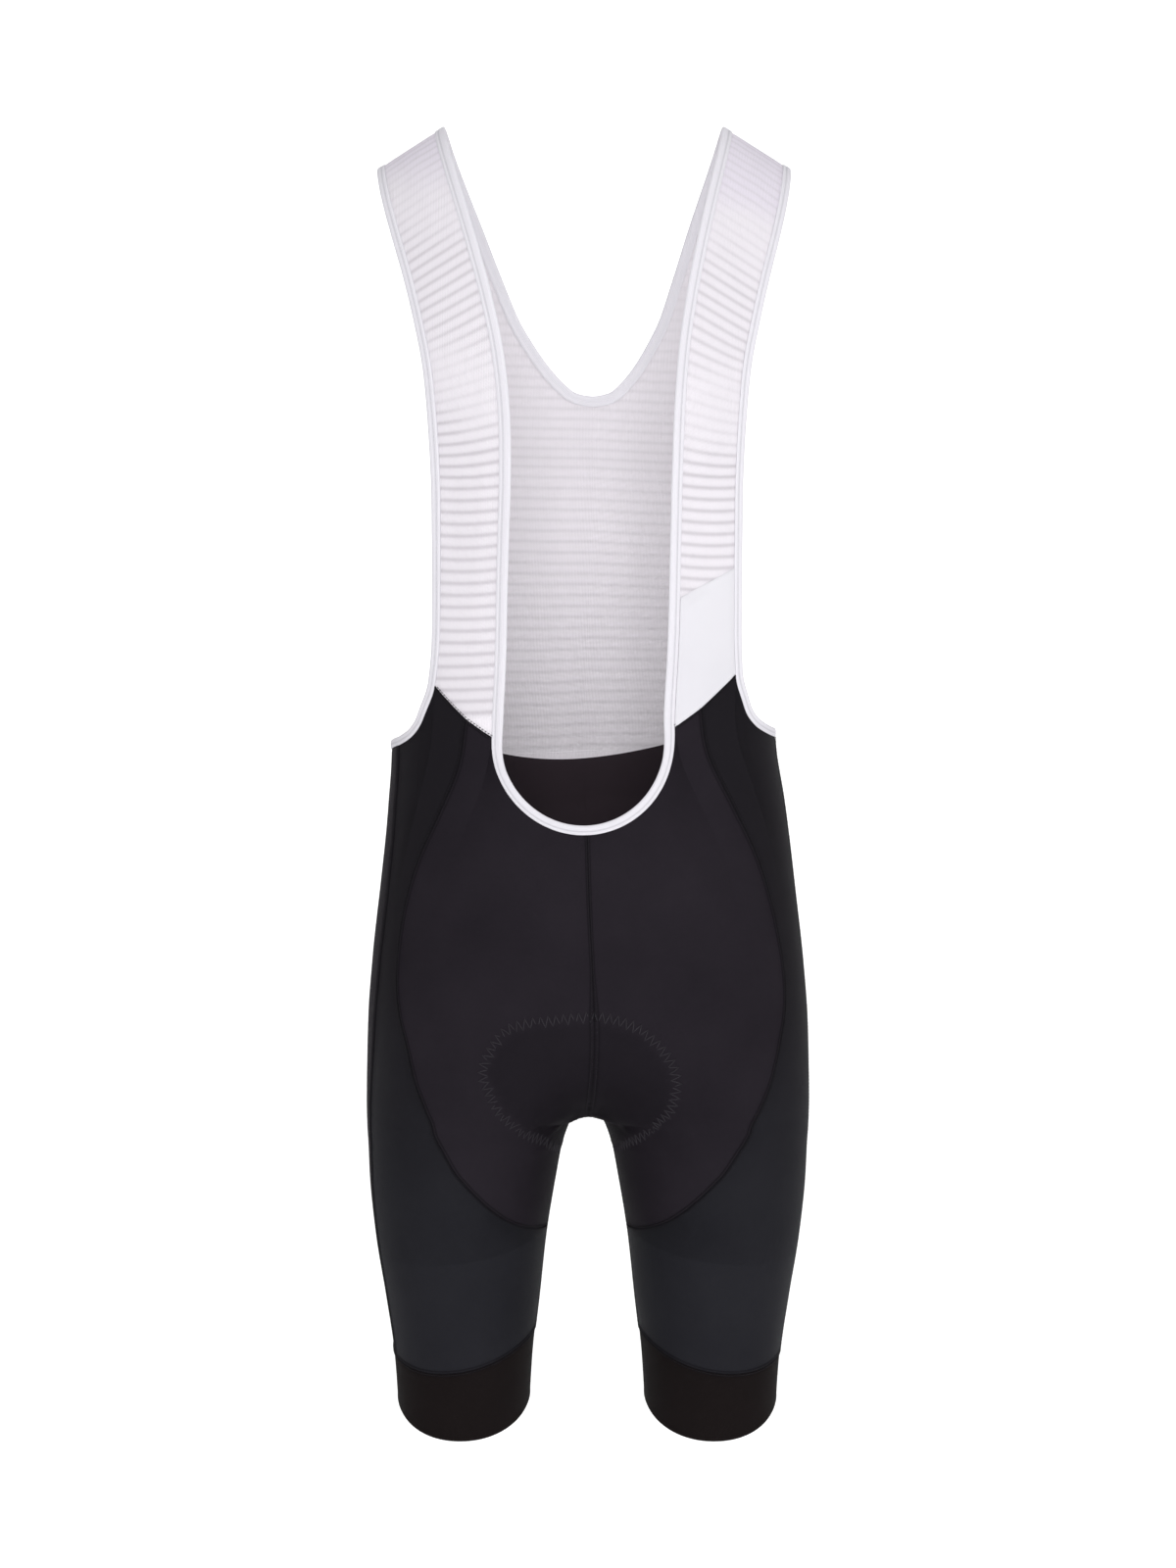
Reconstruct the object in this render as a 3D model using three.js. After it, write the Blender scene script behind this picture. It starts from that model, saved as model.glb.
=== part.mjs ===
// Cycling bib shorts in their worn, filled-out form: hollow, open at the neck, armholes and hems.
// Millimetres. +X is the wearer's left, the front faces -Y and +Z is up.
// The origin is midway between the tops of the two shoulder straps, where the wearer carries them.
import * as THREE from 'three';
import { mergeVertices } from 'three/addons/utils/BufferGeometryUtils.js';

// Cloth
const WALL = 1.5;
const MESH_WALL = 1.2;
const SEAM_GAP = 0.3;
const WELD = 1e-3;

// Sampling
const EDGE_FADE = 3;
const FINE_STEPS = 40;
const LINE_STEPS = 12;
const CENTRE_STEPS = 60;
const SLOPE_STEP = 0.5;

// General figure
const MIDDLE_Y = 5;
const CROTCH_ROUND = 18;
const CROTCH_Z = -710;
const CHEST_Z = -250;
const SHOULDER_RUN = 300;
const SHOULDER_SPREAD = 40;
const SHOULDER = { x: 103, z: 16, slope: 0.635 };

// Sections of half the body above the crotch and of one leg below it. Widths run from the inner
// to the outer edge, front and back are depths from MIDDLE_Y, power is the roundness of the oval.
const sections = [
  { z: -250, inner: -166, outer: 166, front: 113, back: 93, power: 2.3 },
  { z: -340, inner: -153, outer: 153, front: 109, back: 86, power: 2.3 },
  { z: -395, inner: -144, outer: 144, front: 104, back: 84, power: 2.3 },
  { z: -436, inner: -142, outer: 142, front: 101, back: 84, power: 2.3 },
  { z: -481, inner: -146.5, outer: 146.5, front: 100, back: 91, power: 2.3 },
  { z: -540, inner: -153, outer: 153, front: 102, back: 103, power: 2.3 },
  { z: -596, inner: -110, outer: 159, front: 106, back: 114, power: 2.3 },
  { z: -640, inner: -60, outer: 162, front: 108, back: 118, power: 2.3 },
  { z: -668, inner: -20, outer: 162.6, front: 107, back: 115, power: 2.3 },
  { z: -697, inner: 9.4, outer: 163, front: 102, back: 109, power: 2.3 },
  { z: CROTCH_Z, inner: CROTCH_ROUND, outer: 162.8, front: 99, back: 106, power: 2.25 },
  { z: -711.5, inner: 21.2, outer: 162.7, front: 98.6, back: 105.6, power: 2.25 },
  { z: -714.5, inner: 22.5, outer: 162.6, front: 98, back: 105, power: 2.25 },
  { z: -719, inner: 23.7, outer: 162.4, front: 97, back: 104, power: 2.25 },
  { z: -728, inner: 25.7, outer: 161.8, front: 96, back: 102, power: 2.2 },
  { z: -755, inner: 29.7, outer: 160.5, front: 92, back: 97, power: 2.2 },
  { z: -797, inner: 35.4, outer: 156, front: 86, back: 90, power: 2.2 },
  { z: -841, inner: 39.6, outer: 148.8, front: 78, back: 81, power: 2.15 },
  { z: -884, inner: 43.9, outer: 142.6, front: 69, back: 72, power: 2.1 },
  { z: -917, inner: 45.8, outer: 140.2, front: 63, back: 65, power: 2.1 },
  { z: -950, inner: 47.5, outer: 138.5, front: 58, back: 60, power: 2.1 },
];

// Mesh yoke: its neck and arm edges by the run over the shoulder, negative in front, 0 at the crest
const yoke = [
  { run: -420, neck: 64.5, arm: 105.4 },
  { run: -390, neck: 64.6, arm: 104.7 },
  { run: -330, neck: 64.4, arm: 104.6 },
  { run: -300, neck: 64.3, arm: 105 },
  { run: -270, neck: 65.5, arm: 107.2 },
  { run: -240, neck: 69.5, arm: 111 },
  { run: -210, neck: 76.5, arm: 118 },
  { run: -180, neck: 84.5, arm: 125.5 },
  { run: -150, neck: 92, arm: 132.8 },
  { run: -120, neck: 98.5, arm: 138.6 },
  { run: -90, neck: 103.5, arm: 142.6 },
  { run: -60, neck: 106.8, arm: 144.9 },
  { run: -30, neck: 108.4, arm: 146 },
  { run: 0, neck: 108.8, arm: 146.3 },
  { run: 30, neck: 107.6, arm: 144.9 },
  { run: 60, neck: 104.8, arm: 142 },
  { run: 90, neck: 100, arm: 137.8 },
  { run: 120, neck: 93, arm: 132.4 },
  { run: 150, neck: 84, arm: 126.4 },
  { run: 180, neck: 73.5, arm: 120.6 },
];
const SHOULDER_SEAM_RUN = 30;

// Lower edges of the mesh back: the U of the neck and the armhole down to the waist
const backNeck = [
  { x: 60.5, run: 210 },
  { x: 44, run: 233 },
  { x: 26, run: 249.5 },
  { x: 9, run: 257.5 },
  { x: 0, run: 258.5 },
];
const backArm = [
  { x: 115.4, run: 210 },
  { x: 111.2, run: 240 },
  { x: 107, run: 300 },
  { x: 105.6, run: 380 },
  { x: 105.6, run: 425 },
  { x: 107.6, run: 442.5 },
  { x: 109.1, run: 449.4 },
  { x: 113.6, run: 461.2 },
];

// Front of the neck opening: the lower half of an oval
const FRONT_NECK = { z: -435.5, halfWidth: 64.5, depth: 67 };

// Armhole under the arm, alike in front and behind. Turn is in degrees round a section:
// 0 at the inseam, 90 in front, 180 at the outer side, 270 behind.
const armhole = [
  { turn: 136.5, z: -392.5 },
  { turn: 137.7, z: -399.4 },
  { turn: 141.2, z: -411.2 },
  { turn: 144.8, z: -421.6 },
  { turn: 150.7, z: -429.2 },
  { turn: 158.1, z: -433.2 },
  { turn: 165.3, z: -435.2 },
  { turn: 180, z: -436.5 },
];

// Seams
const strapSeam = [
  { x: 64.4, z: -430 },
  { x: 83.5, z: -416.5 },
  { x: 107.4, z: -392.5 },
];
const curvedSeam = [
  { turn: 123.4, z: -416.5 },
  { turn: 126.7, z: -452 },
  { turn: 133.8, z: -486 },
  { turn: 141.6, z: -518 },
  { turn: 146.2, z: -547 },
  { turn: 147.2, z: -572 },
  { turn: 145.5, z: -608 },
  { turn: 140.6, z: -632 },
  { turn: 133.3, z: -652 },
  { turn: 122.7, z: -678 },
  { turn: 110.8, z: -701 },
  { turn: 98.5, z: -728 },
  { turn: 87.2, z: -750 },
  { turn: 71.7, z: -768 },
  { turn: 54.7, z: -780 },
  { turn: 32, z: -787 },
  { turn: 0, z: -789.5 },
];
const WAIST_SEAM = { z: -446.8, halfWidth: 118, rise: 25.2 };
const SIDE_SEAM_TURN = { left: 176, right: 161 };
const BAND_TOP = { z: -871, frontDip: 11, outerDip: 8, evenDip: 6 };
const HEM = { z: -914.6, dip: 24, backShare: 0.325, softness: 0.25 };

// How the cloth hangs off true, as in wear
const HANG = {
  waist: { lift: 4.4, reach: 50, z: -420, spread: 95 },
  underarm: { shift: -2.8, z: -432, spread: 45 },
  neck: { shift: 4.8, halfWidth: 112, z: -205, spread: 110 },
  hip: { shift: 5.5, y: 0, depth: 100, z: -655, spread: 95 },
  crest: { shift: -2.6, z: 20, spread: 90 },
};

// Trims
const NECK_BINDING = { width: 7.8, proud: 0.6 };
const ARM_BINDING = { width: 6.5, proud: 0.6 };
const PATCH = { neckRun: -387, armRun: -365, wall: 1, inset: 0.6, rows: 4 };
const PAD = { front: -631, back: -606, thick: 8, edge: 2.5, clear: 2.1 };
const padOutline = [
  { turn: 88.7, z: -638 },
  { turn: 90.7, z: -653 },
  { turn: 86.8, z: -676 },
  { turn: 74.1, z: -699 },
  { turn: 62.8, z: -709 },
  { turn: 46.7, z: -718 },
  { turn: 24, z: -728 },
  { turn: 0, z: -733 },
  { turn: -26, z: -729 },
  { turn: -53.8, z: -718 },
  { turn: -73.9, z: -704 },
  { turn: -89.2, z: -682 },
  { turn: -97.9, z: -652 },
  { turn: -99.3, z: -626 },
  { turn: -94.1, z: -611 },
];

// Rows and columns of each piece
const ROWS = { toCrotch: 14, toTip: 6, toBand: 4, band: 3, strap: 18, backCentre: 8, backNeck: 13, pad: 7 };
const COLUMNS = { neck: 8, strapInner: 2, strapOuter: 3, underarm: 7, underarmBack: 4, waist: 8, pad: 8 };
const CROWDING = { back: 1.35 };

// Smooth monotone curve through one column of a table
function column(table, place, name) {
  const at = table.map((row) => Math.abs(table[0][place] - row[place]));
  const value = table.map((row) => row[name]);
  const slope = at.slice(1).map((a, k) => (value[k + 1] - value[k]) / (a - at[k]));
  const tangent = at.map((a, k) => {
    if (k === 0) return slope[0];
    if (k === at.length - 1) return slope[k - 1];
    if (slope[k - 1] * slope[k] <= 0) return 0;
    return (2 * slope[k - 1] * slope[k]) / (slope[k - 1] + slope[k]);
  });
  return (where) => {
    const a = Math.abs(table[0][place] - where);
    let k = 0;
    while (k < at.length - 2 && a > at[k + 1]) k += 1;
    const h = at[k + 1] - at[k];
    const t = THREE.MathUtils.clamp((a - at[k]) / h, 0, 1);
    const u = 1 - t;
    const ends = u * u * (1 + 2 * t) * value[k] + t * t * (1 + 2 * u) * value[k + 1];
    return ends + h * t * u * (u * tangent[k] - t * tangent[k + 1]);
  };
}

const section = {};
for (const name of ['inner', 'outer', 'front', 'back', 'power']) {
  section[name] = column(sections, 'z', name);
}

const signedPower = (value, power) => Math.sign(value) * Math.abs(value) ** power;

function oval(z) {
  const inner = section.inner(z);
  const outer = section.outer(z);
  return {
    middle: (outer + inner) / 2,
    half: (outer - inner) / 2,
    front: section.front(z),
    back: section.back(z),
    power: section.power(z),
  };
}

// How far outside the body's surface a point lies: 1 on the surface itself
function spreadAt(point, z) {
  const ring = oval(z);
  const across = (Math.hypot(point.x, CROTCH_ROUND) - ring.middle) / ring.half;
  const depth = point.y < MIDDLE_Y ? ring.front : ring.back;
  return Math.abs(across) ** ring.power + Math.abs((point.y - MIDDLE_Y) / depth) ** ring.power;
}

// Point and outward normal on the trunk and leg of the wearer's left
function body(turn, z) {
  const ring = oval(z);
  const angle = THREE.MathUtils.degToRad(turn);
  const across = -signedPower(Math.cos(angle), 2 / ring.power);
  const deep = -signedPower(Math.sin(angle), 2 / ring.power);
  const reach = Math.max(CROTCH_ROUND, ring.middle + ring.half * across);
  const x = Math.sqrt(Math.max(0, reach * reach - CROTCH_ROUND * CROTCH_ROUND));
  const depth = deep < 0 ? ring.front : ring.back;
  const p = new THREE.Vector3(x, MIDDLE_Y + depth * deep, z);
  const slopeX = (signedPower(across, ring.power - 1) / ring.half) * (x / reach);
  const slopeY = signedPower(deep, ring.power - 1) / depth;
  const rise = spreadAt(p, z + SLOPE_STEP) - spreadAt(p, z - SLOPE_STEP);
  const slopeZ = rise / (2 * SLOPE_STEP * ring.power);
  return { p, n: new THREE.Vector3(slopeX, slopeY, slopeZ).normalize() };
}

// Turn at which a section reaches a given x, in front or behind
function turnAt(x, z, behind = false) {
  const ring = oval(z);
  const across = THREE.MathUtils.clamp((Math.hypot(x, CROTCH_ROUND) - ring.middle) / ring.half, -1, 1);
  const turn = THREE.MathUtils.radToDeg(Math.acos(-signedPower(across, ring.power / 2)));
  return behind ? 360 - turn : turn;
}

const runOf = (z) => SHOULDER_RUN + CHEST_Z - z;

// Point on the chest, shoulder or upper back
function yokePoint(x, run) {
  const behind = run > 0;
  const over = Math.abs(run);
  if (over >= SHOULDER_RUN) {
    const z = CHEST_Z - (over - SHOULDER_RUN);
    const { p } = body(turnAt(x, z, behind), z);
    return new THREE.Vector3(x, p.y, z);
  }
  const bend = ((over / SHOULDER_RUN) * Math.PI) / 2;
  const ring = oval(CHEST_Z);
  const half = ring.half + SHOULDER_SPREAD * Math.cos(bend);
  const across = Math.min(1, Math.hypot(x, CROTCH_ROUND) / half);
  const round = (1 - across ** ring.power) ** (1 / ring.power);
  const depth = behind ? ring.back : -ring.front;
  const crest = SHOULDER.z - (Math.abs(x) - SHOULDER.x) * SHOULDER.slope;
  const z = CHEST_Z + (crest - CHEST_Z) * Math.cos(bend);
  return new THREE.Vector3(x, MIDDLE_Y + depth * round * Math.sin(bend), z);
}

// The same with its outward normal
function shoulder(x, run) {
  const near = Math.abs(run) < SLOPE_STEP ? SLOPE_STEP * 2 : run;
  const aside = yokePoint(x + SLOPE_STEP, near).sub(yokePoint(x - SLOPE_STEP, near));
  const along = yokePoint(x, near + SLOPE_STEP).sub(yokePoint(x, near - SLOPE_STEP));
  return { p: yokePoint(x, run), n: aside.cross(along).normalize() };
}

// Evenly spaced places along a smooth line through the rows of a table, measured on the surface
function stations(rows, surface, count) {
  const points = rows.map(([a, b]) => new THREE.Vector3(a, b, 0));
  const line = new THREE.CatmullRomCurve3(points, false, 'centripetal');
  const fine = FINE_STEPS * count;
  const places = [];
  const travelled = [0];
  for (let k = 0; k <= fine; k += 1) {
    const place = line.getPoint(k / fine);
    places.push({ a: place.x, b: place.y, p: surface(place.x, place.y).p });
    if (k > 0) travelled.push(travelled[k - 1] + places[k].p.distanceTo(places[k - 1].p));
  }
  const result = [];
  for (let s = 0; s <= count; s += 1) {
    const wanted = (travelled[fine] * s) / count;
    let k = 1;
    while (k < fine && travelled[k] < wanted) k += 1;
    const part = (wanted - travelled[k - 1]) / Math.max(WELD, travelled[k] - travelled[k - 1]);
    const t = THREE.MathUtils.clamp(part, 0, 1);
    const before = places[k - 1];
    result.push([before.a + (places[k].a - before.a) * t, before.b + (places[k].b - before.b) * t]);
  }
  return result;
}

const join = (...lines) => lines.flatMap((line, k) => (k === 0 ? line : line.slice(1)));

// Grid of surface points spanned by four edges: left and right by rows, top and bottom by columns.
// The shapes of the top and bottom edges fade out away from them. Crowding above 1 draws the
// columns toward the right edge.
function span({ left, right, top, bottom, crowding = 1 }, surface) {
  const rows = left.length - 1;
  const columns = top.length - 1;
  return left.map((start, i) => {
    const atTop = (1 - i / rows) ** EDGE_FADE;
    const atBottom = (i / rows) ** EDGE_FADE;
    return top.map((head, j) => {
      const u = 1 - (1 - j / columns) ** crowding;
      const place = [0, 1].map((k) => {
        const above = head[k] - (1 - u) * top[0][k] - u * top[columns][k];
        const below = bottom[j][k] - (1 - u) * bottom[0][k] - u * bottom[columns][k];
        return (1 - u) * start[k] + u * right[i][k] + atTop * above + atBottom * below;
      });
      return surface(place[0], place[1]);
    });
  });
}

// Cloth points moved in from a grid's edges by half the seam gap, in the cloth's own plane.
// Rows before centreRows start on the garment's centre line and stay there.
function trimmed(grid, { tip = false, centreRows = 0 } = {}) {
  const rows = grid.length - 1;
  const columns = grid[0].length - 1;
  const cell = (i, j) => grid[THREE.MathUtils.clamp(i, 0, rows)][THREE.MathUtils.clamp(j, 0, columns)];
  const moved = grid.map((line) => line.map(({ p, n }) => ({ p: p.clone(), n })));
  const pull = (i, j, along, inside) => {
    const into = along.cross(cell(i, j).n).normalize();
    const sign = Math.sign(into.dot(inside.p.clone().sub(cell(i, j).p))) || 1;
    moved[i][j].p.addScaledVector(into, (sign * SEAM_GAP) / 2);
  };
  const lastRow = tip ? rows - 1 : rows;
  for (let i = 0; i <= lastRow; i += 1) {
    const downLeft = cell(i + 1, 0).p.clone().sub(cell(Math.max(i - 1, centreRows), 0).p);
    const downRight = cell(i + 1, columns).p.clone().sub(cell(i - 1, columns).p);
    if (i >= centreRows) pull(i, 0, downLeft, cell(i, 1));
    pull(i, columns, downRight, cell(i, columns - 1));
  }
  for (let j = 0; j <= columns; j += 1) {
    const across = (i) => cell(i, j + 1).p.clone().sub(cell(i, j - 1).p);
    pull(0, j, across(0), cell(1, j));
    if (!tip) pull(rows, j, across(rows), cell(rows - 1, j));
  }
  if (tip) {
    const corner = grid[rows][0].p;
    const inside = grid[rows - 1][Math.floor(columns / 2)].p.clone().sub(corner).setLength(SEAM_GAP);
    for (const point of moved[rows]) point.p.add(inside);
  }
  return moved;
}

const flip = (vector) => new THREE.Vector3(-vector.x, vector.y, vector.z);
const bell = (z, centre, spread) => Math.exp(-(((z - centre) / spread) ** 2));

// The whole garment hangs a little off true
function hang({ x, y, z }) {
  const { waist, underarm, neck, hip, crest } = HANG;
  const forward = THREE.MathUtils.clamp((hip.y - y) / hip.depth, 0, 1);
  const middle = Math.max(0, 1 - (x / neck.halfWidth) ** 2);
  const atNeck = neck.shift * middle * bell(z, neck.z, neck.spread);
  const atHip = hip.shift * forward * bell(z, hip.z, hip.spread);
  const atCrest = crest.shift * bell(z, crest.z, crest.spread);
  const atUnderarm = underarm.shift * bell(z, underarm.z, underarm.spread);
  const lift = waist.lift * Math.tanh(x / waist.reach) * bell(z, waist.z, waist.spread);
  return new THREE.Vector3(x + atNeck + atHip + atCrest + atUnderarm, y, z + lift);
}

// Closed solid from shells of points and four-cornered faces, turned outward
function solid(...shells) {
  const positions = [];
  const corners = [];
  for (const { points, faces } of shells) {
    const first = positions.length / 3;
    for (const point of points) positions.push(...hang(point).toArray());
    for (const [a, b, c, d] of faces) {
      const short = points[a].distanceTo(points[c]) <= points[b].distanceTo(points[d]);
      const halves = short ? [a, b, c, a, c, d] : [a, b, d, b, c, d];
      corners.push(...halves.map((corner) => first + corner));
    }
  }
  const raw = new THREE.BufferGeometry();
  raw.setAttribute('position', new THREE.Float32BufferAttribute(positions, 3));
  raw.setIndex(corners);
  const geometry = mergeVertices(raw, WELD);
  const place = geometry.getAttribute('position');
  const index = geometry.getIndex().array;
  const [a, b, c] = [new THREE.Vector3(), new THREE.Vector3(), new THREE.Vector3()];
  const kept = [];
  let volume = 0;
  for (let k = 0; k < index.length; k += 3) {
    const [i, j, l] = [index[k], index[k + 1], index[k + 2]];
    if (i === j || j === l || l === i) continue;
    kept.push([i, j, l]);
    a.fromBufferAttribute(place, i);
    b.fromBufferAttribute(place, j);
    c.fromBufferAttribute(place, l);
    volume += a.dot(b.cross(c));
  }
  geometry.setIndex(kept.flatMap(([i, j, l]) => (volume > 0 ? [i, j, l] : [i, l, j])));
  geometry.computeVertexNormals();
  return geometry;
}

// Cloth as a shell: an outer face over the grid and an inner face one wall below it.
// A ring closes on itself, and rows before centreRows stay open to meet their mirror image.
function cloth(grid, wall, { out = 0, ring = false, centreRows = 0 } = {}) {
  const rows = grid.length;
  const columns = grid[0].length;
  const layer = (drop) => grid.flatMap((line, i) => line.map(({ p, n }, j) => {
    const depth = typeof wall === 'function' ? wall(i, j) : wall;
    const point = p.clone().addScaledVector(n, out - drop * depth);
    if (centreRows > 0 && i <= centreRows && j === 0) point.x = 0;
    return point;
  }));
  const outer = (i, j) => i * columns + (j % columns);
  const inner = (i, j) => rows * columns + outer(i, j);
  const faces = [];
  const cells = ring ? columns : columns - 1;
  for (let i = 0; i < rows - 1; i += 1) {
    for (let j = 0; j < cells; j += 1) {
      faces.push([outer(i, j), outer(i, j + 1), outer(i + 1, j + 1), outer(i + 1, j)]);
      faces.push([inner(i, j), inner(i + 1, j), inner(i + 1, j + 1), inner(i, j + 1)]);
    }
    if (!ring && i >= centreRows) faces.push([outer(i, 0), outer(i + 1, 0), inner(i + 1, 0), inner(i, 0)]);
    if (!ring) faces.push([outer(i + 1, cells), outer(i, cells), inner(i, cells), inner(i + 1, cells)]);
  }
  for (let j = 0; j < cells; j += 1) {
    const last = rows - 1;
    faces.push([outer(0, j + 1), outer(0, j), inner(0, j), inner(0, j + 1)]);
    faces.push([outer(last, j), outer(last, j + 1), inner(last, j + 1), inner(last, j)]);
  }
  return { points: [...layer(0), ...layer(1)], faces };
}

const mirrored = ({ points, faces }) => ({
  points: points.map(flip),
  faces: faces.map((face) => [...face].reverse()),
});

// Folded elastic round an opening, along a closed path of cloth edge points.
// Each point knows a neighbour inside the cloth, and the elastic lies on the other side.
function binding(path, { width, proud }) {
  const count = path.length;
  const points = path.flatMap(({ p, n, inside }, k) => {
    const along = path[(k + 1) % count].p.clone().sub(path[(k + count - 1) % count].p);
    const away = along.cross(n).normalize();
    if (away.dot(inside.clone().sub(p)) > 0) away.negate();
    const corner = (off, up) => p.clone().addScaledVector(away, off).addScaledVector(n, up);
    const near = SEAM_GAP / 2;
    const under = -WALL - proud;
    return [corner(near, proud), corner(width, proud), corner(width, under), corner(near, under)];
  });
  const faces = [];
  for (let k = 0; k < count; k += 1) {
    const next = (k + 1) % count;
    for (let s = 0; s < 4; s += 1) {
      const t = (s + 1) % 4;
      faces.push([4 * k + s, 4 * next + s, 4 * next + t, 4 * k + t]);
    }
  }
  return { points, faces };
}

// Centre line in front or behind, from a level down to the crotch. Turns behind are negative.
function centreLine(fromZ, behind) {
  const rows = [];
  for (let k = 0; k <= CENTRE_STEPS; k += 1) {
    const z = CROTCH_Z + (fromZ - CROTCH_Z) * (1 - k / CENTRE_STEPS) ** 2;
    const turn = k === CENTRE_STEPS ? 0 : turnAt(0, z);
    rows.push([behind ? -turn : turn, z]);
  }
  return rows;
}

function hemZ(turn) {
  const front = Math.sin(THREE.MathUtils.degToRad(turn));
  const even = Math.hypot(front, HEM.softness);
  return HEM.z - HEM.dip * ((1 - HEM.backShare) * front + HEM.backShare * even);
}

function bandTopZ(turn) {
  const front = Math.sin(THREE.MathUtils.degToRad(turn));
  const outer = -Math.cos(THREE.MathUtils.degToRad(turn));
  const { z, frontDip, outerDip, evenDip } = BAND_TOP;
  return z - frontDip * front - outerDip * outer - evenDip * front * front;
}

// Evenly spaced places along the top of the hem band
function bandTop(from, to, count) {
  const rows = [];
  for (let k = 0; k <= LINE_STEPS; k += 1) {
    const turn = from + ((to - from) * k) / LINE_STEPS;
    rows.push([turn, bandTopZ(turn)]);
  }
  return stations(rows, body, count).map(([turn]) => [turn, bandTopZ(turn)]);
}

const onBody = (rows) => rows.map(({ turn, z }) => [turn, z]);
const armholeZ = column(armhole, 'turn', 'z');
const TIP_Z = curvedSeam.at(-1).z;
const inseam = (turn, fromZ, toZ, count) => stations([[turn, fromZ], [turn, toZ]], body, count);

// Lines that more than one piece shares
const [seamInner, seamMiddle, seamOuter] = strapSeam.map(({ x, z }) => [turnAt(x, z), z]);
const strapSeamInner = stations([seamInner, seamMiddle], body, COLUMNS.strapInner);
const strapSeamOuter = stations([seamMiddle, seamOuter], body, COLUMNS.strapOuter);
const frontSeam = stations([seamMiddle, ...onBody(curvedSeam.slice(1))], body, ROWS.toCrotch + ROWS.toTip);
const frontInseam = inseam(0, CROTCH_Z, TIP_Z, ROWS.toTip);
const lowInseam = inseam(0, TIP_Z, bandTopZ(0), ROWS.toBand);

function waistSeamRows() {
  const rows = [];
  for (let k = 0; k <= LINE_STEPS; k += 1) {
    const x = WAIST_SEAM.halfWidth * (1 - k / LINE_STEPS);
    const z = WAIST_SEAM.z + WAIST_SEAM.rise * (x / WAIST_SEAM.halfWidth) ** 2;
    rows.push([turnAt(x, z, true), z]);
  }
  return rows;
}
const waistSeam = stations(waistSeamRows(), body, COLUMNS.waist);

function frontPanel() {
  const neck = [];
  for (let k = 0; k <= LINE_STEPS; k += 1) {
    const swing = (Math.PI / 2) * (k / LINE_STEPS);
    const z = FRONT_NECK.z - FRONT_NECK.depth * Math.cos(swing);
    neck.push([turnAt(FRONT_NECK.halfWidth * Math.sin(swing), z), z]);
  }
  const top = join(stations([...neck, seamInner], body, COLUMNS.neck), strapSeamInner);
  const centre = stations(centreLine(neck[0][1], false), body, ROWS.toCrotch);
  const tip = frontSeam.at(-1);
  return span({ left: join(centre, frontInseam), right: frontSeam, top, bottom: top.map(() => tip) }, body);
}

function sideTop(sideTurn) {
  return [sideTurn, armholeZ(sideTurn)];
}

function sideSeam(sideTurn) {
  const rows = ROWS.toCrotch + ROWS.toTip + ROWS.toBand;
  return stations([sideTop(sideTurn), [sideTurn, bandTopZ(sideTurn)]], body, rows);
}

function sidePanel(sideTurn) {
  const under = onBody(armhole.filter(({ turn, z }) => z < seamOuter[1] && turn < sideTurn));
  const armLine = stations([seamOuter, ...under, sideTop(sideTurn)], body, COLUMNS.underarm);
  return span({
    left: join(frontSeam, lowInseam),
    right: sideSeam(sideTurn),
    top: join(strapSeamOuter, armLine),
    bottom: bandTop(0, sideTurn, COLUMNS.strapOuter + COLUMNS.underarm),
  }, body);
}

function backPanel(sideTurn) {
  const corner = waistSeam[0];
  const behind = armhole.map(({ turn, z }) => [360 - turn, z]).reverse();
  const under = behind.filter(([turn]) => turn > sideTurn && turn < corner[0]);
  const armLine = stations([sideTop(sideTurn), ...under, corner], body, COLUMNS.underarmBack);
  const full = (line) => line.map(([turn, z]) => [turn + 360, z]);
  const centre = stations(centreLine(WAIST_SEAM.z, true), body, ROWS.toCrotch);
  return span({
    left: sideSeam(sideTurn),
    right: full(join(centre, frontInseam, lowInseam)),
    top: join(armLine, waistSeam),
    bottom: bandTop(sideTurn, 360, COLUMNS.underarmBack + COLUMNS.waist),
    crowding: CROWDING.back,
  }, body);
}

function hemBand(sideTurn) {
  const ahead = bandTop(0, sideTurn, COLUMNS.strapOuter + COLUMNS.underarm);
  const behind = bandTop(sideTurn, 360, COLUMNS.underarmBack + COLUMNS.waist);
  const places = join(ahead, behind).slice(0, -1);
  const rows = Array.from({ length: ROWS.band + 1 }, (_, row) => row / ROWS.band);
  return rows.map((share) => places.map(([turn, top]) => {
    const from = top - SEAM_GAP / 2;
    return body(turn, from + (hemZ(turn) - from) * share);
  }));
}

// A place on the body's surface as its place on the yoke
function onYoke([turn, z], behind) {
  const { x } = body(turn, z).p;
  return [x, behind ? runOf(z) : -runOf(z)];
}

function strap() {
  const seam = join(strapSeamInner, strapSeamOuter).map((place) => onYoke(place, false));
  const rows = yoke.filter(({ run }) => run <= SHOULDER_SEAM_RUN);
  const left = stations([seam[0], ...rows.map(({ neck, run }) => [neck, run])], shoulder, ROWS.strap);
  const right = stations([seam.at(-1), ...rows.map(({ arm, run }) => [arm, run])], shoulder, ROWS.strap);
  const end = stations([left.at(-1), right.at(-1)], shoulder, seam.length - 1);
  return span({ left, right, top: seam, bottom: end }, shoulder);
}

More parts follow.
